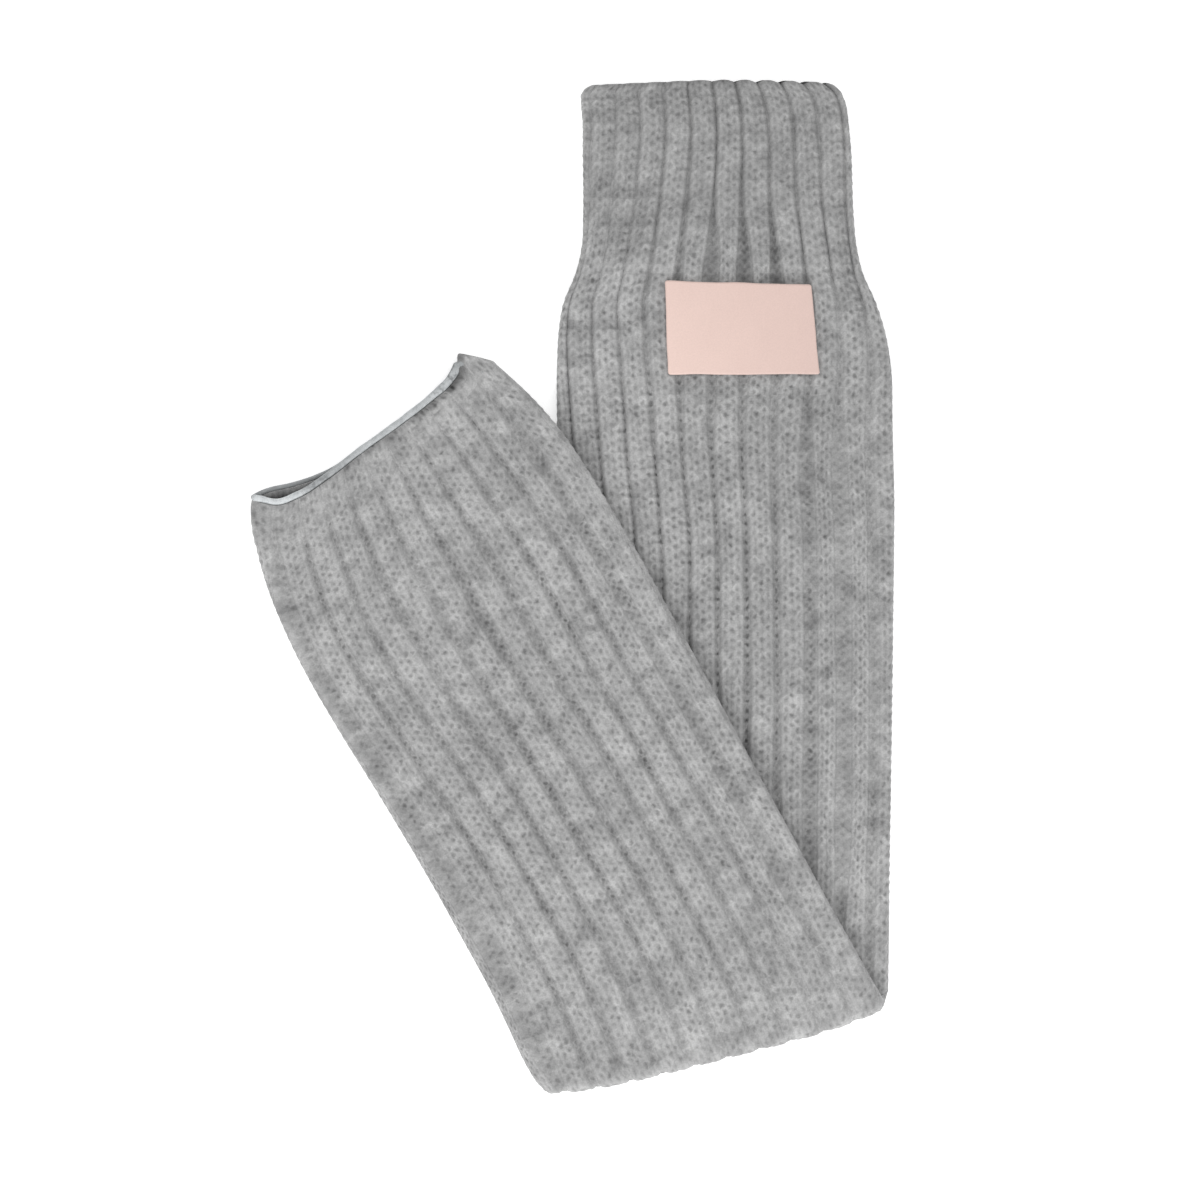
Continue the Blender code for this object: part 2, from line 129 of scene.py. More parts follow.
@dataclass(frozen=True)
class Curve:
    """A smooth curve through the rows of a table, as cubic pieces with shared slopes."""

    places: Array
    values: Array

    @classmethod
    def of(cls, rows: tuple[tuple[float, ...], ...], column: int) -> Curve:
        """Takes the first column of a table as places and another as values."""
        table = np.array(rows)
        return cls(table[:, 0], table[:, column])

    def at(self, place: Array) -> Array:
        """Reads the curve.

        Args:
            place: Places, which are clipped to the table's ends.

        Returns:
            The value at each place.
        """
        slopes = np.gradient(self.values, self.places)
        i = np.clip(np.searchsorted(self.places, place) - 1, 0, len(self.places) - 2)
        width = self.places[i + 1] - self.places[i]
        t = np.clip((place - self.places[i]) / width, 0.0, 1.0)
        ends = self.values[i] * (1 + 2 * t) * (1 - t) ** 2
        ends = ends + self.values[i + 1] * t**2 * (3 - 2 * t)
        return ends + width * t * (1 - t) * (slopes[i] * (1 - t) - slopes[i + 1] * t)


@dataclass(frozen=True)
class SoftNoise:
    """Smooth noise from -1 to 1 between seeded random values on a lattice that repeats."""

    seed: int
    lattice: int = 97

    def at(self, x: Array, y: Array) -> Array:
        """Reads the noise.

        Args:
            x: First coordinate, one lattice cell to each unit.
            y: Second coordinate.

        Returns:
            Noise of the same shape, blended between the four nearest lattice values.
        """
        values = np.random.default_rng(self.seed).uniform(-1.0, 1.0, (self.lattice, self.lattice))
        column, row = np.floor(x).astype(int), np.floor(y).astype(int)
        right, up = smooth_step(x - column), smooth_step(y - row)
        n = self.lattice
        left_of, right_of = column % n, (column + 1) % n
        low, high = (blend(values[r % n, left_of], values[r % n, right_of], right) for r in (row, row + 1))
        return blend(low, high, up)


# ------------------------------------------------------------------------- form of the tube

# along, half width to the left, half width to the right
OUTLINE = (
    (0.0000, 0.0526, 0.0448),
    (0.0030, 0.0552, 0.0478),
    (0.0080, 0.0556, 0.0498),
    (0.0190, 0.0550, 0.0516),
    (0.0300, 0.0550, 0.0526),
    (0.0560, 0.0548, 0.0536),
    (0.0670, 0.0552, 0.0546),
    (0.0790, 0.0580, 0.0574),
    (0.0900, 0.0626, 0.0624),
    (0.1020, 0.0646, 0.0662),
    (0.1140, 0.0652, 0.0683),
    (0.1390, 0.0654, 0.0694),
    (0.2200, 0.0660, 0.0694),
    (0.3000, 0.0680, 0.0682),
    (0.3660, 0.0700, 0.0672),
    (0.4060, 0.0702, 0.0668),
    (0.4220, 0.0708, 0.0668),
    (0.4390, 0.0698, 0.0669),
    (0.4570, 0.0690, 0.0671),
    (0.4800, 0.0688, 0.0673),
    (0.5140, 0.0688, 0.0677),
    (0.5460, 0.0698, 0.0679),
    (0.5780, 0.0712, 0.0681),
    (0.6020, 0.0714, 0.0674),
    (0.6180, 0.0705, 0.0667),
    (0.6340, 0.0686, 0.0650),
    (0.6500, 0.0651, 0.0614),
    (0.6600, 0.0621, 0.0581),
    (0.6660, 0.0592, 0.0556),
    (0.6688, 0.0575, 0.0543),
    (0.6700, 0.0564, 0.0524),
)
# along, turn in ribs, gather on the label side's left half, spread in the middle of each side
RIB_LAY = (
    (0.000, 0.56, 0.00, 0.00),
    (0.022, 0.54, 0.00, 0.03),
    (0.046, 0.41, 0.00, 0.10),
    (0.070, 0.32, 0.00, 0.24),
    (0.105, 0.15, 0.06, 0.14),
    (0.142, 0.04, 0.12, 0.05),
    (0.190, 0.21, 0.14, 0.00),
    (0.240, 0.28, 0.10, 0.00),
    (0.340, 0.28, 0.06, 0.00),
    (0.412, 0.08, 0.00, 0.00),
    (0.510, 0.11, 0.00, 0.02),
    (0.572, 0.26, 0.00, 0.08),
    (0.605, 0.28, 0.00, 0.10),
    (0.637, 0.29, 0.00, 0.02),
    (0.670, 0.18, 0.00, 0.00),
)
# Lines straight across at the ends of the tube slant with the fold nearer to it: place on the
# tube's axis, share of the fold's slant.
LINE_SLANT = (
    (0.1350, 0.00),
    (0.1900, 0.20),
    (0.2450, 0.50),
    (0.3000, 0.80),
    (0.3480, 1.00),
    (0.4260, 1.00),
    (0.4480, 0.90),
    (0.5920, 0.30),
    (0.6140, 0.15),
    (0.6320, 0.05),
    (0.6460, 0.00),
)
# share of the half width, shift of the label side's end, shift of the plain side's end
CUFF_END = (
    (-1.0, 0.0034, 0.0034),
    (-0.6, 0.0024, 0.0024),
    (0.0, 0.0012, 0.0012),
    (0.6, 0.0016, 0.0016),
    (1.0, 0.0024, 0.0024),
)
MOUTH_END = (
    (-1.00, 0.0008, 0.0008),
    (-0.88, 0.0002, -0.0055),
    (-0.70, -0.0027, -0.0078),
    (-0.45, -0.0051, -0.0070),
    (-0.15, -0.0040, -0.0045),
    (0.20, -0.0017, -0.0023),
    (0.51, 0.0005, 0.0001),
    (0.70, 0.0028, 0.0024),
    (0.78, 0.0050, 0.0046),
    (0.84, 0.0072, 0.0070),
    (0.90, 0.0058, 0.0057),
    (1.00, 0.0028, 0.0028),
)
# along, then how marked the grooves are at each of GROOVE_PLACES
GROOVE_MARK = (
    (0.000, 0.35, 0.85, 1.00, 0.80),
    (0.050, 0.35, 1.00, 1.05, 0.75),
    (0.072, 0.40, 1.35, 1.45, 0.85),
    (0.100, 0.80, 0.95, 0.90, 0.55),
    (0.150, 1.20, 1.00, 0.78, 0.50),
    (0.210, 0.88, 1.28, 1.00, 0.52),
    (0.340, 0.95, 1.12, 0.95, 0.62),
    (0.384, 0.50, 0.50, 0.50, 0.50),
    (0.430, 0.75, 0.75, 0.75, 0.75),
    (0.670, 0.75, 0.75, 0.75, 0.75),
)
GROOVE_PLACES = (-0.75, -0.25, 0.25, 0.75)  # shares of the half width, evenly apart
# Grooves that lie open: rib before the groove, from and to along the tube, and how far each of
# the groove's sides moves out, in ribs.
OPEN_GROOVES = (
    (20, 0.050, 0.112, 0.02, 0.03),
    (21, 0.050, 0.112, 0.10, 0.13),
    (0, 0.050, 0.112, 0.08, 0.12),
    (1, 0.050, 0.112, 0.06, 0.12),
    (2, 0.125, 0.340, 0.02, 0.16),
    (3, 0.125, 0.340, 0.02, 0.20),
    (6, 0.410, 0.655, 0.10, 0.12),
    (15, 0.400, 0.655, 0.02, 0.42),
    (16, 0.400, 0.655, 0.00, 0.10),
)
# along, extra shade of the yarn on the left and on the right
YARN_SHADE = (
    (0.000, 0.24, 0.20),
    (0.055, 0.24, 0.20),
    (0.090, 0.03, 0.12),
    (0.130, 0.02, 0.17),
    (0.180, 0.05, 0.13),
    (0.250, 0.09, 0.09),
    (0.320, 0.05, 0.03),
    (0.384, 0.02, 0.02),
    (0.430, 0.00, 0.02),
    (0.670, 0.00, 0.00),
)
# share of the half width, painted shadow on the yarn beside the mouth's edging, and the edging's
# tint (brightest at its near left end as a painted highlight), width and specks
MOUTH_SHADE = (
    (-1.00, 0.20, 1.30, 1.00, 0.0),
    (-0.74, 0.14, 1.32, 1.00, 0.0),
    (-0.60, 0.18, 0.92, 1.00, 0.5),
    (-0.44, 0.20, 0.82, 1.00, 0.5),
    (-0.22, 0.30, 0.95, 1.00, 0.0),
    (0.10, 0.45, 1.06, 1.00, 0.1),
    (0.50, 0.70, 1.04, 1.10, 0.4),
    (0.70, 0.90, 0.96, 1.30, 0.9),
    (0.80, 0.85, 0.88, 1.30, 1.0),
    (0.85, 0.25, 0.72, 1.15, 1.0),
    (1.00, 0.10, 0.66, 1.00, 1.0),
)
# share of the half width, how far the knit reaches over the edging at the mouth's right corner
CORNER_FILL = (
    (0.78, 0.0000),
    (0.83, 0.0042),
    (0.88, 0.0039),
    (0.92, 0.0031),
    (0.96, 0.0022),
    (1.00, 0.0014),
)


@dataclass(frozen=True)
class TubeForm:
    """The flattened, folded tube: where each flat point of the cloth lies."""

    ribs: int = 22
    wall: float = 0.0026
    hollow: float = 0.0008
    layer_gap: float = 0.0006
    fold_along: float = 0.3818
    fold_slant: float = math.radians(14.6)
    fold_bend: float = 0.0040
    fold_pinch: float = 0.0006
    fold_bulge: float = 0.0047
    fold_bulge_skew: float = 0.10
    fold_bulge_reach: float = 0.075
    drop_width: float = 0.034
    drop_lead: float = 0.003
    cuff_reach: float = 0.016
    mouth_reach: float = 0.070
    lift: float = 0.0036
    lift_reach: float = 0.060
    gather_centre: float = -3.0
    lay_rounds: int = 4
    length: float = OUTLINE[-1][0]
    offset: tuple[float, float, float] = (0.0, 0.0, 0.0)

    @property
    def height(self) -> float:
        """Thickness of the flattened tube."""
        return 2 * self.wall + self.hollow

    @property
    def fold_height(self) -> float:
        """Height of the line that the tube folds round."""
        return self.height + self.layer_gap / 2

    @property
    def fold_length(self) -> float:
        """Length of cloth taken up by the fold."""
        return math.pi * self.fold_bend

    def past_fold(self, across: Array, along: Array) -> Array:
        """Distance past the line where the fold starts, square to that line."""
        slant = self.fold_slant
        return (along - self.fold_along) * math.cos(slant) + across * math.sin(slant)

    def line_slope(self, line: Array) -> Array:
        """How far a line across the tube leans towards the cuff for each metre to the right."""
        table = np.array(LINE_SLANT)
        return np.interp(line, table[:, 0], table[:, 1]) * math.tan(self.fold_slant)

    def half_widths(self, line: Array) -> tuple[Array, Array]:
        """Half widths of lines across the tube, a little pinched where it bends.

        Each is read where the leaning line meets that edge.

        Args:
            line: Places where the lines cross the tube's axis.

        Returns:
            Half widths to the left and to the right.
        """
        left_edge, right_edge = Curve.of(OUTLINE, 1), Curve.of(OUTLINE, 2)
        slope = self.line_slope(line)
        left = left_edge.at(line + slope * left_edge.at(line))
        right = right_edge.at(line - slope * right_edge.at(line))
        bend = (line - self.fold_along) * math.cos(self.fold_slant) / self.fold_bend
        pinch = self.fold_pinch * np.sin(np.clip(bend, 0.0, math.pi))
        return left - pinch, right - pinch

    def pitch(self, rib: Array, line: Array) -> Array:
        """Local distance from rib to rib: the slope of share() times the way round.

        Args:
            rib: Rib coordinates.
            line: Places where lines across the tube cross its axis.

        Returns:
            Distances in metres.
        """
        phase = 2 * math.pi / self.ribs
        gather, spread = (Curve.of(RIB_LAY, n).at(line) for n in (2, 3))
        slope = 1 - gather * np.cos(phase * (rib - self.gather_centre))
        slope = slope + spread * np.cos(2 * phase * rib)
        left, right = self.half_widths(line)
        way_round = 2 * (left + right) + (math.pi - 2) * self.height
        return way_round * slope / self.ribs

    def lay(self, rib: Array, along: Array) -> tuple[Array, Array]:
        """Finds where ribs lie at places along the tube.

        The lay is read on the leaning line through each point, and that line depends on where
        the point lies across, so the two are worked out in turn until they agree.

        Args:
            rib: Rib coordinates, whole at rib middles.
            along: Places along the tube.

        Returns:
            Shares of the way round, and where each point's line crosses the axis.
        """
        line = along
        for _ in range(self.lay_rounds):
            across = self.loop(self.share(rib, line), line, 0.0)[0]
            line = along + self.line_slope(line) * across
        return self.share(rib, line), line

    def share(self, rib: Array, line: Array) -> Array:
        """Share of the way round the tube at which a rib lies.

        An even share for each rib, plus a sine that crowds ribs and one that parts them.

        Args:
            rib: Rib coordinate, whole at rib middles.
            line: Places where lines across the tube cross its axis.

        Returns:
            Shares, 0 in the middle of the label side and growing to the right.
        """
        phase = 2 * math.pi / self.ribs
        turn, gather, spread = (Curve.of(RIB_LAY, n).at(line) for n in (1, 2, 3))
        centre = self.gather_centre
        crowd = np.sin(phase * (rib - centre)) - math.sin(-phase * centre)
        part = np.sin(2 * phase * rib)
        even = (rib + turn) / self.ribs
        return even - gather * crowd / (2 * math.pi) + spread * part / (4 * math.pi)

    def loop(self, share: Array, line: Array, inset: float) -> tuple[Array, Array, Array, Array]:
        """Points on the flattened loop: two straight runs joined by half circles.

        Args:
            share: Share of the way round.
            line: Places where lines across the tube cross its axis, of the same shape.
            inset: Distance inside the crest loop.

        Returns:
            across, up, and the outward normal's across and up parts.
        """
        left, right = (width - inset for width in self.half_widths(line))
        radius = self.height / 2 - inset
        straight = (left + right) / 2 - radius
        turn = math.pi * radius
        distance = np.mod(share, 1.0) * (4 * straight + 2 * turn)
        ends = [straight, straight + turn, 3 * straight + turn, 3 * straight + 2 * turn]
        sides = [distance < end for end in ends]
        right_turn = (distance - ends[0]) / radius
        left_turn = math.pi + (distance - ends[2]) / radius
        none = np.zeros_like(distance)
        turned = [none, right_turn, none + math.pi, left_turn]
        angle = np.select(sides, turned, 2 * math.pi)
        back = straight - (distance - ends[1])
        centre = [distance, straight, back, -straight]
        centre = np.select(sides, centre, distance - ends[3] - straight)
        out, rise = np.sin(angle), np.cos(angle)
        across = (right - left) / 2 + centre + radius * out
        return across, inset + radius + radius * rise, out, rise

    def side_share(self, across: Array, line: Array) -> Array:
        """Place between the two edges, -1 at the left one and 1 at the right one."""
        left, right = self.half_widths(line)
        return np.clip(np.where(across < 0, across / left, across / right), -1.0, 1.0)

    def end_shift(self, across: Array, along: Array, up: Array) -> Array:
        """Shift along the tube that gives the cuff and the mouth their curved lines.

        Args:
            across: Places across the tube.
            along: Places along it.
            up: Heights, which tell the two walls apart.

        Returns:
            The shift, fading to nothing away from each end.
        """
        place = self.side_share(across, along)
        on_label = eased(up, self.wall, self.hollow)
        shift = np.zeros_like(place)
        ends = ((CUFF_END, along, self.cuff_reach), (MOUTH_END, self.length - along, self.mouth_reach))
        for table, distance, reach in ends:
            label, plain = Curve.of(table, 1).at(place), Curve.of(table, 2).at(place)
            shift = shift + fading(distance, reach) * blend(plain, label, on_label)
        return shift

    def mouth_lift(self, across: Array, along: Array, up: Array) -> Array:
        """How far the plain wall parts from the label wall near the mouth.

        Args:
            across: Places across the tube.
            along: Places along it.
            up: Heights, which tell the two walls apart.

        Returns:
            Distances, 0 on the label wall.
        """
        place = self.side_share(across, along)
        on_plain = 1 - eased(up, self.wall, self.hollow)
        near = fading(self.length - along, self.lift_reach)
        return self.lift * on_plain * near * (1 - place**2) * (1 - place) / 2

    def fold(self, across: Array, along: Array, up: Array) -> Array:
        """Carries flat points round the fold and lays the upper stretch down.

        Past the fold line a point turns about a line at fold_height, and beyond half a turn it
        runs back over the lower stretch. Left of that stretch it slopes down to the floor.

        Args:
            across: Places across the tube.
            along: Places along it.
            up: Heights in the flat.

        Returns:
            Points in the frame's coordinates, with x, y and z along the last axis.
        """
        cos_slant, sin_slant = math.cos(self.fold_slant), math.sin(self.fold_slant)
        past = self.past_fold(across, along)
        beside = across * cos_slant - (along - self.fold_along) * sin_slant
        angle = np.clip(past, 0.0, self.fold_length) / self.fold_bend
        radius = self.fold_height - up
        forward = np.where(past <= 0, past, radius * np.sin(angle))
        forward = np.where(past >= self.fold_length, self.fold_length - past, forward)
        half_width = float(Curve.of(OUTLINE, 1).at(np.array(self.fold_along)))
        place = np.clip(across / half_width, -1.0, 1.0)
        from_crest = np.abs(past - self.fold_length / 2) - self.fold_length / 2
        bulge = self.fold_bulge * (1 - place**4) * (1 + self.fold_bulge_skew * place)
        forward = forward + bulge * fading(from_crest, self.fold_bulge_reach)
        height = self.fold_height - radius * np.cos(angle)
        x = beside * cos_slant + forward * sin_slant
        y = -self.fold_along + beside * sin_slant - forward * cos_slant
        beyond = -Curve.of(OUTLINE, 1).at(-y) - x + self.drop_lead
        on_upper = eased(past, self.fold_length / 2, self.fold_length)
        drop = self.height + self.layer_gap
        height = height - drop * eased(beyond, 0.0, self.drop_width) * on_upper
        return np.stack([x, y, height], axis=-1) + np.array(self.offset)


# ------------------------------------------------------------------------- stitches


@dataclass(frozen=True)
class Stitches:
    """Sizes of the 2 by 1 rib and the relief of its stitches.

    Small round openings lie between the yarn's legs, one to a stitch, in three columns on each
    rib: down the middle of either wale and, half a row further on, between the two. The groove
    has three columns of its own, which close up where it is narrow. Columns are given as place
    in wales from the rib's edge or the groove's, shift in rows, and share of the full depth.
    """

    row_pitch: float = 0.00374
    wale_width: float = 0.0050
    knit_share_most: float = 0.93
    opening_columns: tuple[tuple[float, float, float], ...] = (
        (0.5, 0.0, 0.80),
        (1.0, 0.5, 1.00),
        (1.5, 0.0, 0.80),
    )
    opening_radius: float = 0.00131
    groove_columns: tuple[tuple[float, float, float], ...] = (
        (0.20, 0.25, 0.70),
        (0.50, 0.75, 1.00),
        (0.80, 0.25, 0.70),
    )
    groove_opening_radius: float = 0.00136
    groove_room: Pair = (1.2, 2.4)  # radii, from one column to three
    opening_height: float = 1.15
    opening_depth: float = 0.00036
    leg_relief: float = 0.00013
    leg_start: float = 0.11
    leg_lean: float = 0.23
    leg_width: float = 0.20
    leg_hold: float = 0.40
    tone_lean: float = 1.1
    groove_depth: float = 0.00150
    shoulder_depth: float = 0.00080
    shoulder_start: float = 0.74
    crown: float = 0.00025
    bar_relief: float = 0.00040
    bar_wave: float = 0.25

    @property
    def knit_width(self) -> float:
        """Width of one rib: two wales of knit stitches."""
        return KNIT_WALES * self.wale_width

    def openings(self, within: Array, row: Array) -> Array:
        """Share of the full depth in the openings between the legs of knit stitches.

        Each is a bowl, 1 - d^2 of the distance d from its middle in radii, a little taller than
        wide.

        Args:
            within: Place on the rib, in wales from its edge.
            row: Row coordinate.

        Returns:
            0 on the yarn, up to 1 in the middle of an opening.
        """
        deepest = np.zeros_like(within)
        for column, shift, share in self.opening_columns:
            x = (within - column) * self.wale_width / self.opening_radius
            y = (np.mod(row + shift, 1.0) - 0.5) * self.row_pitch / self.opening_radius
            y = y / self.opening_height
            deepest = np.maximum(deepest, share * np.clip(1 - x**2 - y**2, 0.0, 1.0))
        return deepest

    def legs(self, within: Array, row: Array) -> Array:
        """Yarn legs in shallow Vs: a cosine of the row, led by the place across the wale."""
        place = np.abs(np.mod(within, 1.0) - 0.5)
        return 0.5 - 0.5 * np.cos(2 * math.pi * (row - place + 0.5))

    def bars(self, across_groove: Array, row: Array, wide: Array) -> Array:
        """Purl bars, one to a row, that zigzag across the groove where it is wide.

        A cosine of the row, which is led by one and a half waves of a cosine across the groove.

        Args:
            across_groove: Place across the groove, from 0 to 1.
            row: Row coordinate.
            wide: 1 in a groove of full width and 0 in a closed one.

        Returns:
            0 between the bars and 1 on them.
        """
        wave = self.bar_wave * wide * np.cos(3 * math.pi * (across_groove - 0.5))
        return 0.5 + 0.5 * np.cos(2 * math.pi * (row - wave))


# ------------------------------------------------------------------------- mesh making


def in_scene(name: str, data: bpy.types.ID) -> Thing:
    """Makes an object of this data and links it to the scene.

    Args:
        name: The object's name.
        data: A mesh, a light or a camera.

    Returns:
        The object.
    """
    made = bpy.data.objects.new(name, data)
    bpy.context.scene.collection.objects.link(made)
    return made


def quads(*corners: Array) -> Array:
    """Faces of four corners each, from the indices of their first corners, their second and so on."""
    return np.stack(corners, axis=-1).reshape(-1, 4)


@dataclass
class MeshData:
    """Points, quads and what they carry, on the way to a Blender mesh."""

    points: Array
    faces: Array
    uv: Array | None = None
    values: dict[str, Array] = field(default_factory=dict)
    sharp_loops: list[Array] = field(default_factory=list)

    def volume(self) -> float:
        """Signed volume: a sixth of the sum of a . (b x c) over the triangles.

        Returns:
            The volume, which is negative where the faces point inwards.
        """
        corners = self.points[self.faces]
        total = 0.0
        for second, third in ((1, 2), (2, 3)):
            crossed = np.cross(corners[:, second], corners[:, third])
            total += float((corners[:, 0] * crossed).sum() / 6)
        return total

    def build(self, name: str, material: Material) -> Thing:
        """Makes a smooth-shaded object with its faces pointing outwards.

        Args:
            name: The object's name.
            material: Its finish.

        Returns:
            The object, at the origin.
        """
        faces, uv = self.faces, self.uv
        if self.volume() < 0:
            faces = faces[:, ::-1]
            uv = None if uv is None else uv[:, ::-1]
        data = bpy.data.meshes.new(name)
        data.vertices.add(len(self.points))
        data.vertices.foreach_set("co", self.points.astype(np.float32).ravel())
        data.loops.add(faces.size)
        data.loops.foreach_set("vertex_index", faces.astype(np.int32).ravel())
        data.polygons.add(len(faces))
        data.polygons.foreach_set("loop_start", np.arange(0, faces.size, 4, dtype=np.int32))
        data.update(calc_edges=True)
        if uv is not None:
            layer = data.uv_layers.new(name="stitch")
            layer.data.foreach_set("uv", uv.astype(np.float32).ravel())
        for key, numbers in self.values.items():
            attribute = data.attributes.new(key, "FLOAT", "POINT")
            attribute.data.foreach_set("value", numbers.astype(np.float32).ravel())
        data.shade_smooth()
        if self.sharp_loops:
            self.mark_sharp(data)
        data.validate()
        data.materials.append(material)
        return in_scene(name, data)

    def mark_sharp(self, data: bpy.types.Mesh) -> None:
        """Marks the edges that run along each of the sharp loops.

        Args:
            data: The finished mesh.
        """
        ends = np.zeros(len(data.edges) * 2, np.int32)
        data.edges.foreach_get("vertices", ends)
        loop_of = np.full(len(self.points), -1)
        for number, loop in enumerate(self.sharp_loops):
            loop_of[loop] = number
        pair = loop_of[ends.reshape(-1, 2)]
        sharp = (pair[:, 0] == pair[:, 1]) & (pair[:, 0] >= 0)
        data.attributes.new("sharp_edge", "BOOLEAN", "EDGE").data.foreach_set("value", sharp)


def ring_quads(rows: int, columns: int, first: int = 0) -> Array:
    """Quads of a grid that closes round its columns.

    Args:
        rows: Rows of points.
        columns: Points in each row.
        first: Index of the first point.

    Returns:
        Corner indices, four to a face.
    """
    row, column = np.meshgrid(np.arange(rows - 1), np.arange(columns), indexing="ij")
    here, after = row * columns + column, row * columns + (column + 1) % columns
    return quads(here, after, after + columns, here + columns) + first


# ------------------------------------------------------------------------- shader helpers

FLOAT, COLOUR, VECTOR = "NodeSocketFloat", "NodeSocketColor", "NodeSocketVector"
NOISE_REACH = (0.25, 0.75)  # where the values of a noise mostly lie
FINE_DETAIL = 3.0


class NodeSheet:
    """Short ways to add and join shader nodes in one tree."""

    def __init__(self, tree: bpy.types.NodeTree) -> None:
        """Takes the tree that nodes are added to."""
        self.tree = tree

    def put(self, value: object, node: Node, key: str | int) -> None:
        """Links a socket to a node's input, or sets that input to a plain value.

        Args:
            value: The socket or the value.
            node: The node.
            key: The input's name or number.
        """
        if isinstance(value, Socket):
            self.tree.links.new(value, node.inputs[key])
        else:
            node.inputs[key].default_value = value

    def add(self, kind: str, inputs: Inputs | None = None, **settings: object) -> Node:
        """Adds a node.

        Args:
            kind: The node's type name.
            inputs: Values or sockets for its inputs, by name or number.
            **settings: Its own properties.

        Returns:
            The node.
        """
        node = self.tree.nodes.new(kind)
        for key, value in settings.items():
            setattr(node, key, value)
        for key, value in (inputs or {}).items():
            self.put(value, node, key)
        return node

    def maths(self, operation: str, *values: object) -> Socket:
        """Adds a Math node with these values or sockets and returns its output."""
        return self.add("ShaderNodeMath", dict(enumerate(values)), operation=operation).outputs[0]

    def plus(self, first: object, second: object) -> Socket:
        """Adds two numbers."""
        return self.maths("ADD", first, second)

    def minus(self, first: object, second: object) -> Socket:
        """Takes the second number from the first."""
        return self.maths("SUBTRACT", first, second)

    def times(self, first: object, second: object) -> Socket:
        """Multiplies two numbers."""
        return self.maths("MULTIPLY", first, second)

    def times_plus(self, first: object, second: object, third: object) -> Socket:
        """Multiplies two numbers and adds a third."""
        return self.maths("MULTIPLY_ADD", first, second, third)

    def vector(self, *parts: object) -> Socket:
        """Joins numbers to a vector."""
        return self.add("ShaderNodeCombineXYZ", dict(enumerate(parts))).outputs[0]

    def parts(self, vector: object) -> tuple[Socket, ...]:
        """Splits a vector into its three numbers."""
        return tuple(self.add("ShaderNodeSeparateXYZ", {0: vector}).outputs)

    def stitch_uv(self) -> Socket:
        """Reads the coordinates that every piece's mesh carries."""
        return self.add("ShaderNodeUVMap", uv_map="stitch").outputs[0]

    def value_of(self, name: str) -> Socket:
        """Reads a number that the points of the mesh carry."""
        return self.add("ShaderNodeAttribute", attribute_name=name).outputs["Fac"]

    def mix(self, factor: object, low: object, high: object, mode: str = "MIX") -> Socket:
        """Mixes two colours and returns the result."""
        inputs = {0: factor, 6: low, 7: high}
        return self.add("ShaderNodeMix", inputs, data_type="RGBA", blend_type=mode).outputs[2]

    def shaded(self, colour: object, value: object) -> Socket:
        """Multiplies a colour by a number."""
        grey = self.add("ShaderNodeCombineColor", {0: value, 1: value, 2: value}).outputs[0]
        return self.mix(1.0, colour, grey, "MULTIPLY")

    def noise(self, vector: object, scale: object, detail: float = 2.0) -> Socket:
        """Adds a Noise Texture and returns its value, about 0.5 on average."""
        inputs = {"Vector": vector, "Scale": scale, "Detail": detail}
        return self.add("ShaderNodeTexNoise", inputs).outputs[0]

    def ramp(self, value: object, *ends: float) -> Socket:
        """Maps a value from the first two ends to the last two, and clamps it there."""
        return self.add("ShaderNodeMapRange", dict(enumerate((value, *ends)))).outputs[0]

    def spread(self, value: object, low: float = 0.0, high: float = 1.0) -> Socket:
        """Maps a noise, from where it mostly lies, to low..high."""
        return self.ramp(value, *NOISE_REACH, low, high)

    def chance(self, cell: object) -> tuple[Socket, ...]:
        """Gives each cell a random number and a random colour."""
        return tuple(self.add("ShaderNodeTexWhiteNoise", {"Vector": cell}, noise_dimensions="3D").outputs)

    def group(self, tree: bpy.types.NodeTree, inputs: Inputs) -> Node:
        """Adds a node group."""
        return self.add("ShaderNodeGroup", inputs, node_tree=tree)


def new_group(
    name: str, inputs: dict[str, str], outputs: dict[str, str]
) -> tuple[NodeSheet, Node, Node]:
    """Starts a shader node group.

    Args:
        name: The group's name.
        inputs: Socket types by input name.
        outputs: Socket types by output name.

    Returns:
        The group's node sheet, its input node and its output node.
    """
    tree = bpy.data.node_groups.new(name, "ShaderNodeTree")
    for direction, sockets in (("INPUT", inputs), ("OUTPUT", outputs)):
        for socket, kind in sockets.items():
            tree.interface.new_socket(socket, in_out=direction, socket_type=kind)
    sheet = NodeSheet(tree)
    return sheet, sheet.add("NodeGroupInput"), sheet.add("NodeGroupOutput")


def fibre_group() -> bpy.types.NodeTree:
    """Fine spun fibres: flecks of colour and a height, shared by every cloth here.

    Returns:
        The group, which is made on the first call.
    """
    known = bpy.data.node_groups.get("spun_fibres")
    if known:
        return known
    inputs = {"Color": COLOUR, "Vector": VECTOR, "Fleck": FLOAT, "Fleck Scale": FLOAT}
    sheet, start, end = new_group("spun_fibres", inputs, {"Color": COLOUR, "Height": FLOAT})
    given = start.outputs
    fibres = sheet.noise(given["Vector"], given["Fleck Scale"], FINE_DETAIL)
    bright = sheet.plus(sheet.times(sheet.spread(fibres, -1.0, 1.0), given["Fleck"]), 1.0)
    sheet.put(sheet.shaded(given["Color"], bright), end, "Color")
    sheet.put(fibres, end, "Height")
    return sheet.tree


# ------------------------------------------------------------------------- finishes


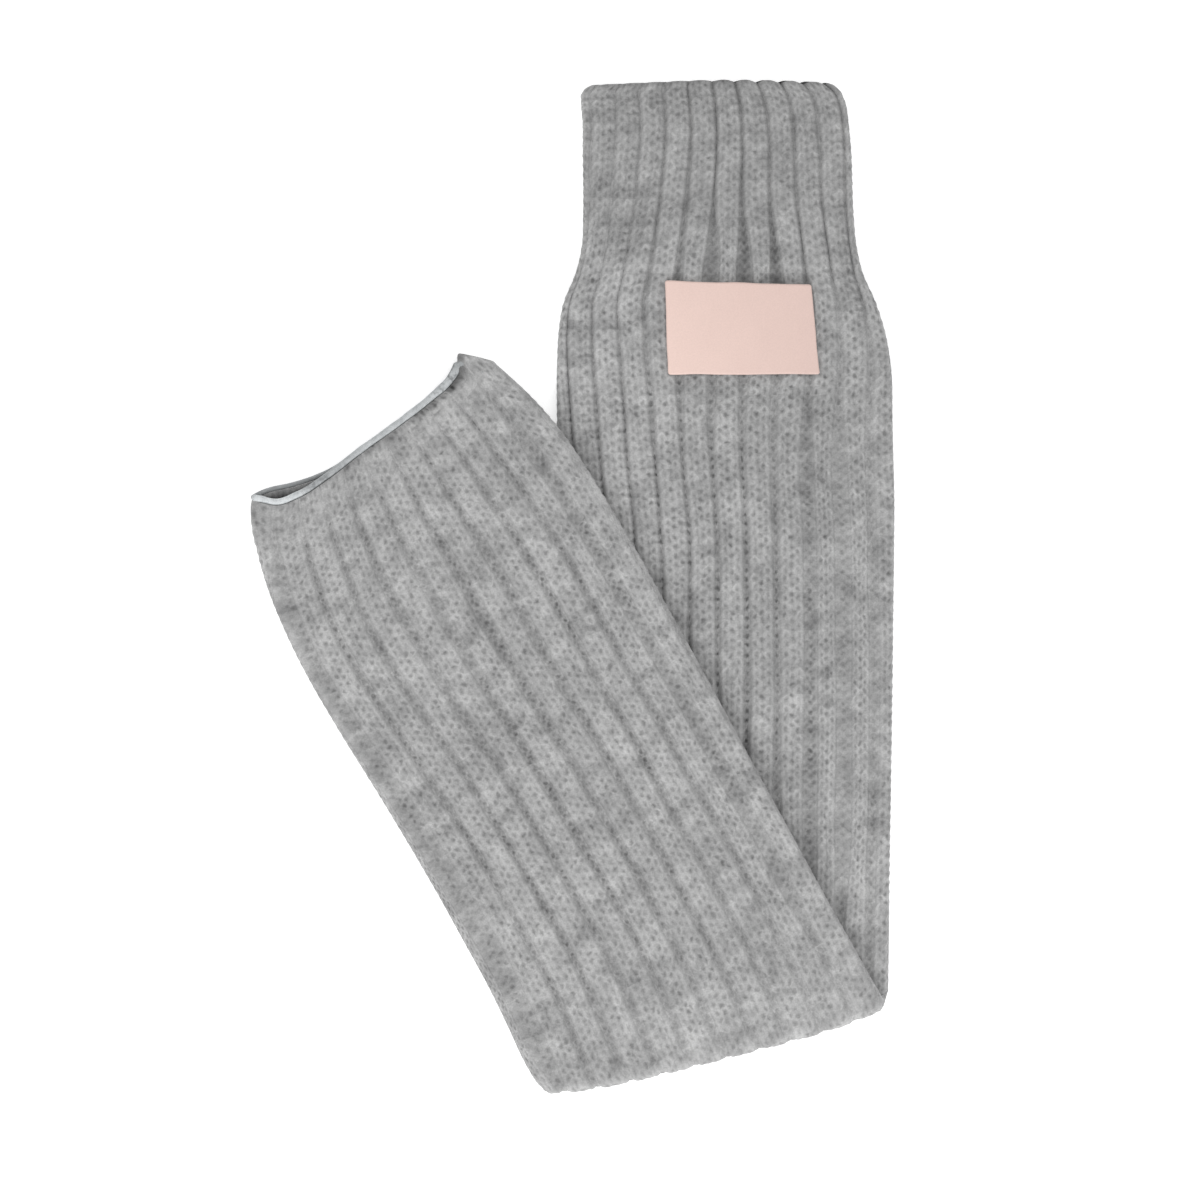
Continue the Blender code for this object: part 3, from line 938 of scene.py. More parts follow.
@dataclass(frozen=True)
class OpeningColumn:
    """Shader nodes for one column of openings, each with a place and a depth of its own."""

    column: float
    shift: float
    share: float
    least: float = 0.25
    move: Pair = (0.20, 0.30)

    def bowls(
        self, sheet: NodeSheet, coordinates: tuple[Socket, Socket, Socket], scale: tuple[object, float]
    ) -> Socket:
        """Adds the column's nodes.

        Every opening is the square of 1 - d^2, where d is the distance from its middle in radii.

        Args:
            sheet: The group's node sheet.
            coordinates: Rib number, place across it in wales, and row.
            scale: Radii in a wale and in a row.

        Returns:
            0 outside the openings, and from least times share up to share in their middles.
        """
        rib, within, row = coordinates
        shifted = sheet.plus(row, self.shift)
        cell = sheet.vector(sheet.plus(rib, self.column), sheet.maths("FLOOR", shifted), self.column)
        number, colour = sheet.chance(cell)
        moves = sheet.add("ShaderNodeSeparateColor", {0: colour}).outputs
        across = sheet.minus(within, self.column + self.move[0] / 2)
        x = sheet.times_plus(moves[0], self.move[0], across)
        in_cell = sheet.minus(sheet.maths("FRACT", shifted), 0.5 + self.move[1] / 2)
        y = sheet.times_plus(moves[1], self.move[1], in_cell)
        x, y = sheet.times(x, scale[0]), sheet.times(y, scale[1])
        away = sheet.plus(sheet.times(x, x), sheet.times(y, y))
        bowl = sheet.maths("MAXIMUM", sheet.minus(1.0, away), 0.0)
        deeper = (1 - self.least) * self.share
        depth = sheet.times_plus(number, deeper, self.least * self.share)
        return sheet.times(sheet.times(bowl, bowl), depth)


def opening_nodes(sheet: NodeSheet, stitches: Stitches, place: tuple[Socket, Socket, Socket]) -> Socket:
    """Adds the columns of openings on the ribs.

    Args:
        sheet: The group's node sheet.
        stitches: Sizes of the stitches.
        place: Rib number, place across it in wales, and row.

    Returns:
        The deepest of them at each point, from 0 to 1.
    """
    across = stitches.wale_width / stitches.opening_radius
    lengthwise = stitches.row_pitch / stitches.opening_radius / stitches.opening_height
    deepest: object = 0.0
    for column in stitches.opening_columns:
        bowls = OpeningColumn(*column).bowls(sheet, place, (across, lengthwise))
        deepest = sheet.maths("MAXIMUM", deepest, bowls)
    return deepest


def hole_nodes(
    sheet: NodeSheet, stitches: Stitches, place: tuple[Socket, Socket, Socket], groove: Socket
) -> Socket:
    """Adds the columns of openings in the grooves, of which the outer ones close in a narrow groove.

    Args:
        sheet: The group's node sheet.
        stitches: Sizes of the stitches.
        place: Rib number, place across the groove in wales, and row.
        groove: The groove's width in wales.

    Returns:
        The deepest of them at each point, from 0 to 1.
    """
    radius = stitches.groove_opening_radius
    scale = (sheet.times(groove, stitches.wale_width / radius), stitches.row_pitch / radius)
    room = sheet.ramp(scale[0], *stitches.groove_room, 0.0, 1.0)
    deepest: object = 0.0
    for column, shift, share in stitches.groove_columns:
        bowls = OpeningColumn(column, shift, share).bowls(sheet, place, scale)
        if share < 1:
            bowls = sheet.times(bowls, room)
        deepest = sheet.maths("MAXIMUM", deepest, bowls)
    return deepest


def leg_nodes(
    sheet: NodeSheet, stitches: Stitches, around: Socket, row: Socket
) -> tuple[Socket, Socket]:
    """Adds the yarn's legs, and a tone for each.

    A leg is a bowl round a line that leans from the wale's middle to its edge within each row,
    and it fades towards both ends of the row, where it passes under its neighbours.

    Args:
        sheet: The group's node sheet.
        stitches: Sizes of the stitches.
        around: Wale coordinate.
        row: Row coordinate.

    Returns:
        How high on a leg each point is, from 0 to 1, and a random number for the leg.
    """
    in_row = sheet.maths("FRACT", row)
    side = sheet.maths("ABSOLUTE", sheet.minus(sheet.maths("FRACT", around), 0.5))
    middle = sheet.times_plus(in_row, stitches.leg_lean, stitches.leg_start)
    off = sheet.maths("DIVIDE", sheet.minus(side, middle), stitches.leg_width)
    ridge = sheet.maths("MAXIMUM", sheet.minus(1.0, sheet.times(off, off)), 0.0)
    inward = sheet.times(in_row, sheet.minus(4.0, sheet.times(in_row, 4.0)))
    inward = sheet.times_plus(inward, 1 - stitches.leg_hold, stitches.leg_hold)
    half_wale = sheet.maths("FLOOR", sheet.times(around, 2.0))
    leaning = sheet.maths("FLOOR", sheet.times_plus(side, -stitches.tone_lean, row))
    return sheet.times(ridge, inward), sheet.chance(sheet.vector(half_wale, leaning))[0]


def stitch_group(stitches: Stitches) -> bpy.types.NodeTree:
    """Marks the openings between stitches, the yarn's legs beside them, and a tone for each.

    Args:
        stitches: Sizes of the stitches.

    Returns:
        The group, which takes stitch coordinates and the groove's width in wales. Opening is for
        the ribs and Hole for the grooves, from 0 to 1 as Leg is, and Tone is a random number for
        each leg.
    """
    inputs = {"Vector": VECTOR, "Groove": FLOAT}
    outputs = {"Opening": FLOAT, "Hole": FLOAT, "Leg": FLOAT, "Tone": FLOAT}
    sheet, start, end = new_group("knit_stitches", inputs, outputs)
    around, row, _ = sheet.parts(start.outputs["Vector"])
    within = sheet.maths("MODULO", around, WALES)
    beyond = sheet.minus(within, KNIT_WALES)
    rib = sheet.maths("FLOOR", sheet.maths("DIVIDE", around, WALES))
    leg, tone = leg_nodes(sheet, stitches, around, row)
    sheet.put(opening_nodes(sheet, stitches, (rib, within, row)), end, "Opening")
    sheet.put(hole_nodes(sheet, stitches, (rib, beyond, row), start.outputs["Groove"]), end, "Hole")
    sheet.put(leg, end, "Leg")
    sheet.put(tone, end, "Tone")
    return sheet.tree


@dataclass(frozen=True)
class Finish:
    """What all finishes of cloth share: how the surface shines, its fibres and its bumps."""

    name: str
    roughness: float
    sheen: float
    sheen_roughness: float = 0.5
    specular: float = 0.25
    fleck: float = 0.10
    fleck_scale: float = 1400.0
    bump_strength: float = 0.5
    bump_distance: float = 0.0004

    def start(self) -> tuple[Material, NodeSheet, Node]:
        """Makes the material and sets the plain sockets of its Principled shader.

        Returns:
            The material, its node sheet and its shader.
        """
        material = bpy.data.materials.new(self.name)
        material.use_nodes = True
        shader = material.node_tree.nodes["Principled BSDF"]
        shader.inputs["Roughness"].default_value = self.roughness
        shader.inputs["Sheen Weight"].default_value = self.sheen
        shader.inputs["Sheen Roughness"].default_value = self.sheen_roughness
        shader.inputs["Specular IOR Level"].default_value = self.specular
        return material, NodeSheet(material.node_tree), shader

    def fibres(self, sheet: NodeSheet, colour: Socket) -> tuple[Socket, Socket]:
        """Lays the shared fibres over a colour.

        Args:
            sheet: The material's node sheet.
            colour: The cloth's own colour.

        Returns:
            The flecked colour, and the fibres' height.
        """
        place = sheet.add("ShaderNodeTexCoord").outputs["Object"]
        inputs = {"Color": colour, "Vector": place, "Fleck": self.fleck, "Fleck Scale": self.fleck_scale}
        group = sheet.group(fibre_group(), inputs)
        return group.outputs["Color"], group.outputs["Height"]

    def end(self, sheet: NodeSheet, shader: Node, colour: Socket, height: Socket) -> None:
        """Gives the shader its colour and its bumps.

        Args:
            sheet: The material's node sheet.
            shader: Its Principled shader.
            colour: The base colour.
            height: The height that the bumps follow.
        """
        sheet.put(colour, shader, "Base Color")
        inputs = {"Height": height, "Strength": self.bump_strength, "Distance": self.bump_distance}
        sheet.put(sheet.add("ShaderNodeBump", inputs).outputs[0], shader, "Normal")


@dataclass(frozen=True)
class HeatherYarn(Finish):
    """Grey marled yarn: streaks along each course and soft blotches, with painted shade between stitches,
    in the grooves and inside.

    Soft tones are given as the scale of a noise and its share of the tone, and the streaks by how
    far a wale and a course move through theirs.
    """

    stitches: Stitches = field(default_factory=Stitches)
    light: Colour = (0.632, 0.632, 0.630)
    dark: Colour = (0.174, 0.174, 0.176)
    # painted shade: how strongly the hollow value, the openings, the holes and the sides of the legs
    # darken the colour
    painted_shade_strength: float = 0.56
    least: float = 0.08
    opening_shade: float = 0.43
    hole_shade: float = 0.46
    leg_shade: float = 0.10
    leg_height: float = 0.5
    bend: Pair = (0.50, 0.80)
    bend_scale: float = 1.2
    streak_steps: Pair = (0.30, 5.37)
    streak_share: float = 0.24
    soft_tones: tuple[Pair, ...] = ((0.17, 0.32), (0.62, 0.36))
    stitch_share: float = 0.18
    fleck: float = 0.16
    fleck_scale: float = 1500.0

    def bent(self, sheet: NodeSheet, uv: Socket) -> Socket:
        """Moves stitch coordinates about with noise, so that no stitch is quite like the next.

        Args:
            sheet: The material's node sheet.
            uv: Stitch coordinates.

        Returns:
            The coordinates plus bend times noise of about -0.25..0.25, in either direction.
        """
        noise = sheet.add("ShaderNodeTexNoise", {"Vector": uv, "Scale": self.bend_scale, "Detail": 2.0})
        centred = {0: noise.outputs[1], 1: (0.5, 0.5, 0.5)}
        centred = sheet.add("ShaderNodeVectorMath", centred, operation="SUBTRACT").outputs[0]
        moves = {0: centred, 1: (*self.bend, 0.0), 2: uv}
        return sheet.add("ShaderNodeVectorMath", moves, operation="MULTIPLY_ADD").outputs[0]

    def tone(self, sheet: NodeSheet, uv: Socket, stitch: Socket) -> Socket:
        """Mixes the yarn's grey from streaks, blotches and a shade for each stitch.

        Args:
            sheet: The material's node sheet.
            uv: Stitch coordinates.
            stitch: A random number for each leg of a stitch.

        Returns:
            The colour.
        """
        around, row, _ = sheet.parts(uv)
        course = sheet.maths("FLOOR", row)
        step_around, step_on = self.streak_steps
        streak = sheet.vector(sheet.times(around, step_around), sheet.times(course, step_on))
        tone = sheet.times(sheet.spread(sheet.noise(streak, 1.0)), self.streak_share)
        for scale, share in self.soft_tones:
            tone = sheet.times_plus(sheet.spread(sheet.noise(uv, scale)), share, tone)
        tone = sheet.times_plus(stitch, self.stitch_share, tone)
        return sheet.mix(tone, (*self.dark, 1.0), (*self.light, 1.0))

    def material(self) -> Material:
        """Builds the yarn's material on the stitch coordinates.

        Returns:
            The material.
        """
        material, sheet, shader = self.start()
        uv = sheet.stitch_uv()
        inputs = {"Vector": self.bent(sheet, uv), "Groove": sheet.value_of("groove")}
        stitch = sheet.group(stitch_group(self.stitches), inputs)
        names = ("Opening", "Hole", "Leg", "Tone")
        opening, hole, leg, random = (stitch.outputs[name] for name in names)
        colour, height = self.fibres(sheet, self.tone(sheet, uv, random))
        # Painted shade: the colour darkens in the openings and holes, beside the legs, and by the stored
        # hollow value
        within = sheet.maths("MODULO", sheet.parts(uv)[0], WALES)
        off_leg = sheet.times(sheet.minus(1.0, leg), sheet.maths("LESS_THAN", within, KNIT_WALES))
        clear = sheet.value_of("clear")
        opening, hole = sheet.times(opening, clear), sheet.times(hole, clear)
        between = sheet.times_plus(opening, self.opening_shade, sheet.times(off_leg, self.leg_shade))
        between = sheet.times_plus(hole, self.hole_shade, between)
        left = sheet.minus(1.0, sheet.times(sheet.value_of("hollow"), self.painted_shade_strength))
        colour = sheet.shaded(colour, sheet.maths("MAXIMUM", sheet.minus(left, between), self.least))
        yarn = sheet.minus(sheet.times_plus(leg, self.leg_height, height), sheet.plus(opening, hole))
        self.end(sheet, shader, colour, yarn)
        return material


@dataclass(frozen=True)
class RolledEdging(Finish):
    """Smooth pale edging, with fine cross ridges, a cool tint, dark specks in places, and painted light
    and shade carried by its points.
    """

    colour: Colour = (0.60, 0.62, 0.63)
    dark: Colour = (0.42, 0.44, 0.45)
    soft_scale: float = 0.35
    speck_depth: float = 0.55
    speck_scale: float = 0.55
    speck_reach: Pair = (0.50, 0.66)
    ridge_scale: float = 0.5
    ridge_waver: float = 0.6
    bump_distance: float = 0.00025

    def material(self) -> Material:
        """Builds the edging's material on its own coordinates, along and round the roll.

        Returns:
            The material.
        """
        material, sheet, shader = self.start()
        uv = sheet.stitch_uv()
        soft = sheet.spread(sheet.noise(uv, self.soft_scale, FINE_DETAIL))
        colour = sheet.mix(soft, (*self.dark, 1.0), (*self.colour, 1.0))
        speck = sheet.noise(uv, self.speck_scale, 1.0)
        speck = sheet.ramp(speck, *self.speck_reach, 0.0, self.speck_depth)
        left = sheet.minus(1.0, sheet.times(sheet.value_of("specks"), speck))
        # The stored shade value is painted light: a painted highlight at the near left end and painted
        # shade on the far rim
        colour = sheet.shaded(colour, sheet.times(sheet.value_of("shade"), left))
        colour, height = self.fibres(sheet, colour)
        wave = {"Vector": uv, "Scale": self.ridge_scale, "Distortion": self.ridge_waver}
        ridge = sheet.add("ShaderNodeTexWave", wave).outputs["Fac"]
        self.end(sheet, shader, colour, sheet.plus(ridge, height))
        return material


@dataclass(frozen=True)
class SatinLabelCloth(Finish):
    """Pale pink woven satin: fine threads one way, with soft shifts of tone and painted light, brighter
    towards the lower left.
    """

    light: Colour = (0.885, 0.672, 0.603)
    dark: Colour = (0.745, 0.560, 0.507)
    threads: float = 3.2
    warp_height: float = 0.4
    size: Pair = (60.0, 37.0)
    painted_light_left: float = 0.50
    painted_light_low_left: float = 0.34
    soft_scale: float = 0.07
    soft_reach: Pair = (0.04, 0.20)
    fleck: float = 0.04
    fleck_scale: float = 1600.0
    bump_strength: float = 0.25
    bump_distance: float = 0.00008

    def material(self) -> Material:
        """Builds the satin's material on the label's millimetre coordinates.

        Returns:
            The material.
        """
        material, sheet, shader = self.start()
        uv = sheet.stitch_uv()
        right, down, _ = sheet.parts(uv)
        # Painted light: the colour is brighter towards the left, most at the lower left
        left = sheet.times_plus(right, -1 / self.size[0], 1.0)
        low = sheet.times(sheet.times(down, self.painted_light_low_left / self.size[1]), left)
        soft = sheet.spread(sheet.noise(uv, self.soft_scale), *self.soft_reach)
        tone = sheet.plus(sheet.times_plus(left, self.painted_light_left, soft), low)
        colour = sheet.mix(tone, (*self.dark, 1.0), (*self.light, 1.0))
        turns = 2 * math.pi * self.threads
        weft, warp = (sheet.maths("SINE", sheet.times(part, turns)) for part in (down, right))
        colour, _ = self.fibres(sheet, colour)
        self.end(sheet, shader, colour, sheet.plus(weft, sheet.times(warp, self.warp_height)))
        return material


# ------------------------------------------------------------------------- knitted wall


@dataclass(frozen=True)
class PieceRows:
    """One stretch of the knitted wall, from one stitch row to another."""

    name: str
    first: int
    last: int
    shown: tuple[Wall, ...]


@dataclass(frozen=True)
class Sway:
    """Slow noise over the stitches, which closes on itself round the tube."""

    amount: float
    seed: int
    rows: float  # to each cell of the noise

    def at(self, wale: Array, row: Array, ribs: int) -> Array:
        """Reads the noise, from minus to plus the amount, in two cells to a rib."""
        cells = 2 * ribs
        return self.amount * SoftNoise(self.seed, cells).at(wale * cells / (WALES * ribs), row / self.rows)


@dataclass(frozen=True)
class Spots:
    """Points of the outer surface: their stitch, their place in the flat, and which way they face."""

    wale: Array
    row: Array
    across: Array
    along: Array
    rise: Array  # the outward normal's upward part


@dataclass(frozen=True)
class RibParts:
    """Where points lie on their rib and in its groove, which depth and shading both rest on."""

    is_knit: Array
    side: Array  # 0 in the rib's middle and 1 at its edge
    shoulder: Array
    bowl: Array
    groove: Array  # width in metres
    wide: Array
    between: Array  # 1 between the groove's bars and 0 on them
    mark: Array
    calm: Array


@dataclass(frozen=True)
class PaintedShade:
    """Painted shade on the yarn, from 0 to 1, where less light reaches it, and how that and the openings
    change along the tube.
    """

    shoulder: float = 0.24
    groove: float = 0.24
    bowl: float = 0.14
    bars: float = 0.16
    closed: float = 0.28
    more_on_cuff: float = 0.12
    more_closed_on_cuff: float = 0.16
    holes_lost_on_cuff: float = 0.72
    cuff_end: Pair = (0.10, 0.03)  # start and span, along the tube
    clear_on_cuff: float = 0.66
    clear_rise: Pair = (0.05, 0.04)  # start and span, along the tube
    end: float = 0.30
    end_reach: float = 0.0030
    most: float = 1.3
    rim: float = 0.40
    rim_reach: float = 0.0030
    inside: float = 3.0
    inside_groove: float = 0.5  # wales


# share, seed, width and length of each layer of the cloth's dents
DENT_LAYERS = (
    (0.36, 11, 0.034, 0.060),
    (0.14, 12, 0.016, 0.030),
)


@dataclass
class KnittedTube:
    """The knitted tube, in stretches, each a closed wall with its stitches on the outside."""

    form: TubeForm
    stitches: Stitches = field(default_factory=Stitches)
    painted_shade: PaintedShade = field(default_factory=PaintedShade)
    samples_per_row: int = 6
    samples_per_wale: int = 8
    samples_per_groove: int = 6
    coarse_per_wale: int = 2
    inner_row_step: int = 2
    fine_margin: int = 2
    fold_rows: tuple[int, int] = (6, 9)
    end_rounding: float = 0.0024
    mouth_calm: float = 0.020
    calm_share: float = 0.10
    # reach of the painted shadow beside the mouth's edging
    mouth_shade_reach: float = 0.0030
    mouth_patches: Sway = Sway(0.6, 7, 3.0)
    shade_middle: float = 0.6
    side_calm: float = 0.75
    side_edge: Pair = (0.90, 0.07)  # start and span, as shares of the half width
    side_lead: float = 0.02
    mark_sway: Sway = Sway(0.22, 5, 9.0)
    wide_groove: float = 0.0022
    open_fade: float = 0.03
    rest_relief: float = 0.45
    rest_rise: Pair = (-0.7, 0.6)  # start and span, in how far the wall faces up
    rest_turn: float = 0.6
    dent: float = 0.00055
    dent_mean: float = 0.5
    dent_shift: float = 8.0
    row_sway: Sway = Sway(0.16, 3, 2.2)
    wale_sway: Sway = Sway(0.10, 4, 6.0)
    scallop: float = 0.0015
    scallop_reach: float = 0.008
    scallop_left: float = 0.25
    scallop_rise: Pair = (-0.012, 0.03)  # start and span, across the tube
    corner_rows: float = 0.012

    @property
    def rows(self) -> int:
        """Whole stitch rows in the tube."""
        return round(self.form.length / self.stitches.row_pitch)

    def stretches(self) -> tuple[PieceRows, ...]:
        """The stretches and the walls that show on each.

        Returns:
            The stretches, from the cuff to the mouth.
        """
        fold = round(self.form.fold_along / self.stitches.row_pitch)
        before, after = fold - self.fold_rows[0], fold + self.fold_rows[1]
        third = round(before / 3)
        half = round((after + self.rows) / 2)
        return (
            PieceRows("knit_cuff", 0, third, (Wall.LABEL,)),
            PieceRows("knit_below_label", third, 2 * third, (Wall.LABEL,)),
            PieceRows("knit_lower_stretch", 2 * third, before, (Wall.LABEL,)),
            PieceRows("knit_fold", before, after, (Wall.LABEL, Wall.PLAIN)),
            PieceRows("knit_upper_stretch", after, half, (Wall.PLAIN,)),
            PieceRows("knit_mouth", half, self.rows, (Wall.PLAIN,)),
        )

    def wales(self, shown: tuple[Wall, ...]) -> Array:
        """Stitch columns of the grid: fine where the wall shows and coarse underneath.

        Args:
            shown: The walls that show.

        Returns:
            Wale coordinates, three to each rib: two of knit and one of purl.
        """
        quarter = self.form.ribs // 4
        fine: set[int] = set()
        for wall in shown:
            middle = 0 if wall is Wall.LABEL else self.form.ribs // 2
            reach = range(middle - quarter - self.fine_margin, middle + quarter + self.fine_margin)
            fine |= {rib % self.form.ribs for rib in reach}
        columns = []
        for rib in range(self.form.ribs):
            knit, purl = self.samples_per_wale, self.samples_per_groove
            if rib not in fine:
                knit, purl = self.coarse_per_wale, 1
            columns.append(WALES * rib + np.arange(KNIT_WALES * knit) / knit)
            columns.append(WALES * rib + KNIT_WALES + np.arange(purl) / purl)
        return np.concatenate(columns)

    def rib_of(self, wale: Array, along: Array) -> Array:
        """Rib coordinate of a wale: ribs keep their width, and grooves take what is left.

        Args:
            wale: Wale coordinates.
            along: Places along the tube.

        Returns:
            Rib coordinates, whole at rib middles.
        """
        rib = np.floor(wale / WALES)
        within = wale - WALES * rib - 1
        pitch = self.form.pitch((wale - 1) / WALES, along)
        knit = np.clip(self.stitches.knit_width / pitch, 0.0, self.stitches.knit_share_most)
        groove = knit / 2 + (within - 1) * (1 - knit)
        down, up = self.opened(rib, along)
        _, up_before = self.opened(rib - 1, along)
        knit_move = up_before * (1 - within) / 2 - down * (1 + within) / 2
        groove_move = up * (within - 1) - down * (2 - within)
        return rib + np.where(within < 1, within * knit / 2 + knit_move, groove + groove_move)

    def opened(self, rib: Array, along: Array) -> tuple[Array, Array]:
        """How far the groove after a rib lies open, to either side.

        Args:
            rib: Whole rib numbers.
            along: Places along the tube.

        Returns:
            The moves of its lower and of its upper side, in ribs.
        """
        down, up = np.zeros_like(along), np.zeros_like(along)
        for number, first, last, lower, upper in OPEN_GROOVES:
            here = eased(along, first, self.open_fade) * eased(-along, -last, self.open_fade)
            here = here * (np.mod(rib, self.form.ribs) == number)
            down, up = down + lower * here, up + upper * here
        return down, up

    def groove_mark(self, spots: Spots) -> Array:
        """How marked the grooves are: a table over the cloth, with slow chance changes.

        It is read between GROOVE_PLACES in straight lines, and is less near the sides past the fold.

        Args:
            spots: Points of the surface.

        Returns:
            Shares of the full depth and shade.
        """
        place = self.form.side_share(spots.across, spots.along)
        station = (place - GROOVE_PLACES[0]) / (GROOVE_PLACES[1] - GROOVE_PLACES[0])
        station = np.clip(station, 0.0, len(GROOVE_PLACES) - 1)
        mark = np.zeros_like(station)
        for number in range(len(GROOVE_PLACES)):
            near = np.clip(1 - np.abs(station - number), 0.0, 1.0)
            mark = mark + near * Curve.of(GROOVE_MARK, number + 1).at(spots.along)
        past = eased(spots.along, self.form.fold_along, self.side_lead)
        edge = eased(np.abs(place), *self.side_edge)
        chance = 1 + self.mark_sway.at(spots.wale, spots.row, self.form.ribs)
        return mark * (1 - self.side_calm * edge * past) * chance

    def groove_width(self, wale: Array, along: Array) -> Array:
        """Width of the groove beside each wale: what the rib leaves of the pitch.

        Args:
            wale: Wale coordinates.
            along: Places along the tube.

        Returns:
            Widths in metres.
        """
        pitch = self.form.pitch((wale - 1) / WALES, along)
        down, up = self.opened(np.floor(wale / WALES), along)
        knit = np.minimum(self.stitches.knit_width, self.stitches.knit_share_most * pitch)
        return pitch * (1 + down + up) - knit

    def rest_share(self, spots: Spots) -> Array:
        """Share of the relief that is left: less on what faces down, where the tube rests.

        Args:
            spots: Points of the surface.

        Returns:
            Shares, 1 where the wall faces up.
        """
        turned = self.rest_turn * self.form.fold_length
        past = eased(self.form.past_fold(spots.across, spots.along), 0.0, turned)
        before, after = (eased(facing, *self.rest_rise) for facing in (spots.rise, -spots.rise))
        return blend(self.rest_relief, 1.0, before * (1 - past) + after * past)

    def rib_parts(self, spots: Spots) -> RibParts:
        """Finds where points lie on their rib and in its groove.

        Args:
            spots: Points of the surface.

        Returns:
            What their depth and their shading rest on.
        """
        within = np.mod(spots.wale, WALES)
        side = np.abs(within - 1)
        across_groove = np.clip(within - KNIT_WALES, 0.0, 1.0)
        groove = self.groove_width(spots.wale, spots.along)
        wide = np.clip(groove / self.wide_groove, 0.0, 1.0)
        from_mouth = self.form.length - spots.along
        calm = blend(self.calm_share, 1.0, eased(from_mouth, 0.0, self.mouth_calm))
        return RibParts(
            is_knit=within < KNIT_WALES,
            side=side,
            shoulder=eased(side, self.stitches.shoulder_start, 1 - self.stitches.shoulder_start),
            bowl=np.sin(math.pi * across_groove),
            groove=groove,
            wide=wide,
            between=1 - self.stitches.bars(across_groove, spots.row, wide),
            mark=self.groove_mark(spots) * calm,
            calm=calm,
        )

    def relief(self, spots: Spots, parts: RibParts) -> Array:
        """Depth of the outer surface below the crest loop.

        Ribs have a low crown and soft shoulders, grooves lie deeper, and stitches are cut in
        from there. Everything is shallower where the tube rests on something.

        Args:
            spots: Points of the surface.
            parts: Where they lie on their rib.

        Returns:
            Depths in metres.
        """
        s = self.stitches
        knit_depth = s.crown * parts.side**2 + s.shoulder_depth * parts.shoulder
        groove_depth = blend(s.crown + s.shoulder_depth, s.groove_depth, parts.bowl)
        form_depth = np.where(parts.is_knit, knit_depth, groove_depth)
        within = np.mod(spots.wale, WALES)
        knit_pile = s.opening_depth * s.openings(within, spots.row)
        knit_pile = knit_pile + s.leg_relief * (1 - s.legs(within, spots.row))
        pile = np.where(parts.is_knit, knit_pile, s.bar_relief * parts.between * parts.wide)
        depth = (form_depth * np.minimum(parts.mark, 1.0) + pile * parts.calm) * self.rest_share(spots)
        end = np.clip(1 - spots.along / self.end_rounding, 0.0, 1.0)
        return depth + 0.5 * self.form.wall * (1 - np.sqrt(1 - end**2))

    def outside_shading(self, spots: Spots, parts: RibParts) -> dict[str, Array]:
        """What the shading of the outer surface needs.

        Args:
            spots: Points of the surface.
            parts: Where they lie on their rib.

        Returns:
            By name: how much painted shade each point gets, the groove's width in wales, and how
            clear the openings between the stitches are.
        """
        painted_shade = self.painted_shade
        # Painted shade, stored as hollow: darker on the shoulders, in the grooves, on the cuff and at its
        # rounded end
        on_cuff = 1 - eased(spots.along, *painted_shade.cuff_end)
        in_open = painted_shade.groove + painted_shade.more_on_cuff * on_cuff + painted_shade.bowl * parts.bowl
        in_open = in_open + painted_shade.bars * parts.between
        in_closed = painted_shade.closed + painted_shade.more_closed_on_cuff * on_cuff
        in_groove = blend(in_closed, in_open, parts.wide)
        hollow = np.where(parts.is_knit, painted_shade.shoulder * parts.shoulder, in_groove) * parts.mark
        hollow = hollow + painted_shade.end * fading(spots.along, painted_shade.end_reach) + self.zone_shade(spots)
        on_knit = blend(painted_shade.clear_on_cuff, 1.0, eased(spots.along, *painted_shade.clear_rise))
        in_holes = parts.mark * (1 - painted_shade.holes_lost_on_cuff * on_cuff)
        return {
            "hollow": np.clip(hollow, 0.0, painted_shade.most),
            "groove": parts.groove / self.stitches.wale_width,
            "clear": np.where(parts.is_knit, on_knit, in_holes),
        }

    def zone_shade(self, spots: Spots) -> Array:
        """Extra darkening of the yarn's colour: a table over the cloth, and a patchy painted shadow beside
        the edging.

        Args:
            spots: Points of the surface.

        Returns:
            Shades, 0 where there is none.
        """
        place = self.form.side_share(spots.across, spots.along)
        left, right = (Curve.of(YARN_SHADE, n).at(spots.along) for n in (1, 2))
        shade = blend(left, right, eased(place, -self.shade_middle, 2 * self.shade_middle))
        beside = fading(self.form.length - spots.along, self.mouth_shade_reach)
        patchy = 1 + self.mouth_patches.at(spots.wale, spots.row, self.form.ribs)
        return shade + Curve.of(MOUTH_SHADE, 1).at(place) * beside * patchy

    def dents(self, across: Array, along: Array) -> Array:
        """Soft unevenness of the lying cloth, always inwards.

        Args:
            across: Places across the tube.
            along: Places along it.

        Returns:
            Depths in metres.
        """
        depth: Array | float = self.dent_mean
        for share, seed, width, length in DENT_LAYERS:
            depth = depth + share * SoftNoise(seed).at(across / width + self.dent_shift, along / length)
        return self.dent * depth

    def scallops(self, wale: Array, across: Array, along: Array, on_label: Array) -> Array:
        """Draws the cuff's edge in at each groove, most on the right, as a cosine of the rib.

        Args:
            wale: Wale coordinates.
            across: Places across the tube.
            along: Places along it.
            on_label: 1 on the wall with the label; the other wall is drawn in all along.

        Returns:
            Shifts along the tube.
        """
        right = blend(self.scallop_left, 1.0, eased(across, *self.scallop_rise))
        wave = 0.5 - 0.5 * np.cos(2 * math.pi * (wale - 1) / WALES)
        return self.scallop * right * fading(along, self.scallop_reach) * blend(1.0, wave, on_label)

    def inside_shading(self, along: Array) -> dict[str, Array]:
        """What the shading of the plain inside needs: painted shade that darkens inwards from the mouth's
        rim.

        Args:
            along: Places along the tube.

        Returns:
            The same values by name as outside_shading() gives.
        """
        painted_shade = self.painted_shade
        inwards = eased(self.form.length - along, 0.0, painted_shade.rim_reach)
        blank = np.zeros_like(along)
        return {
            "hollow": blend(painted_shade.rim, painted_shade.inside, inwards),
            "groove": blank + painted_shade.inside_groove,
            "clear": blank,
        }

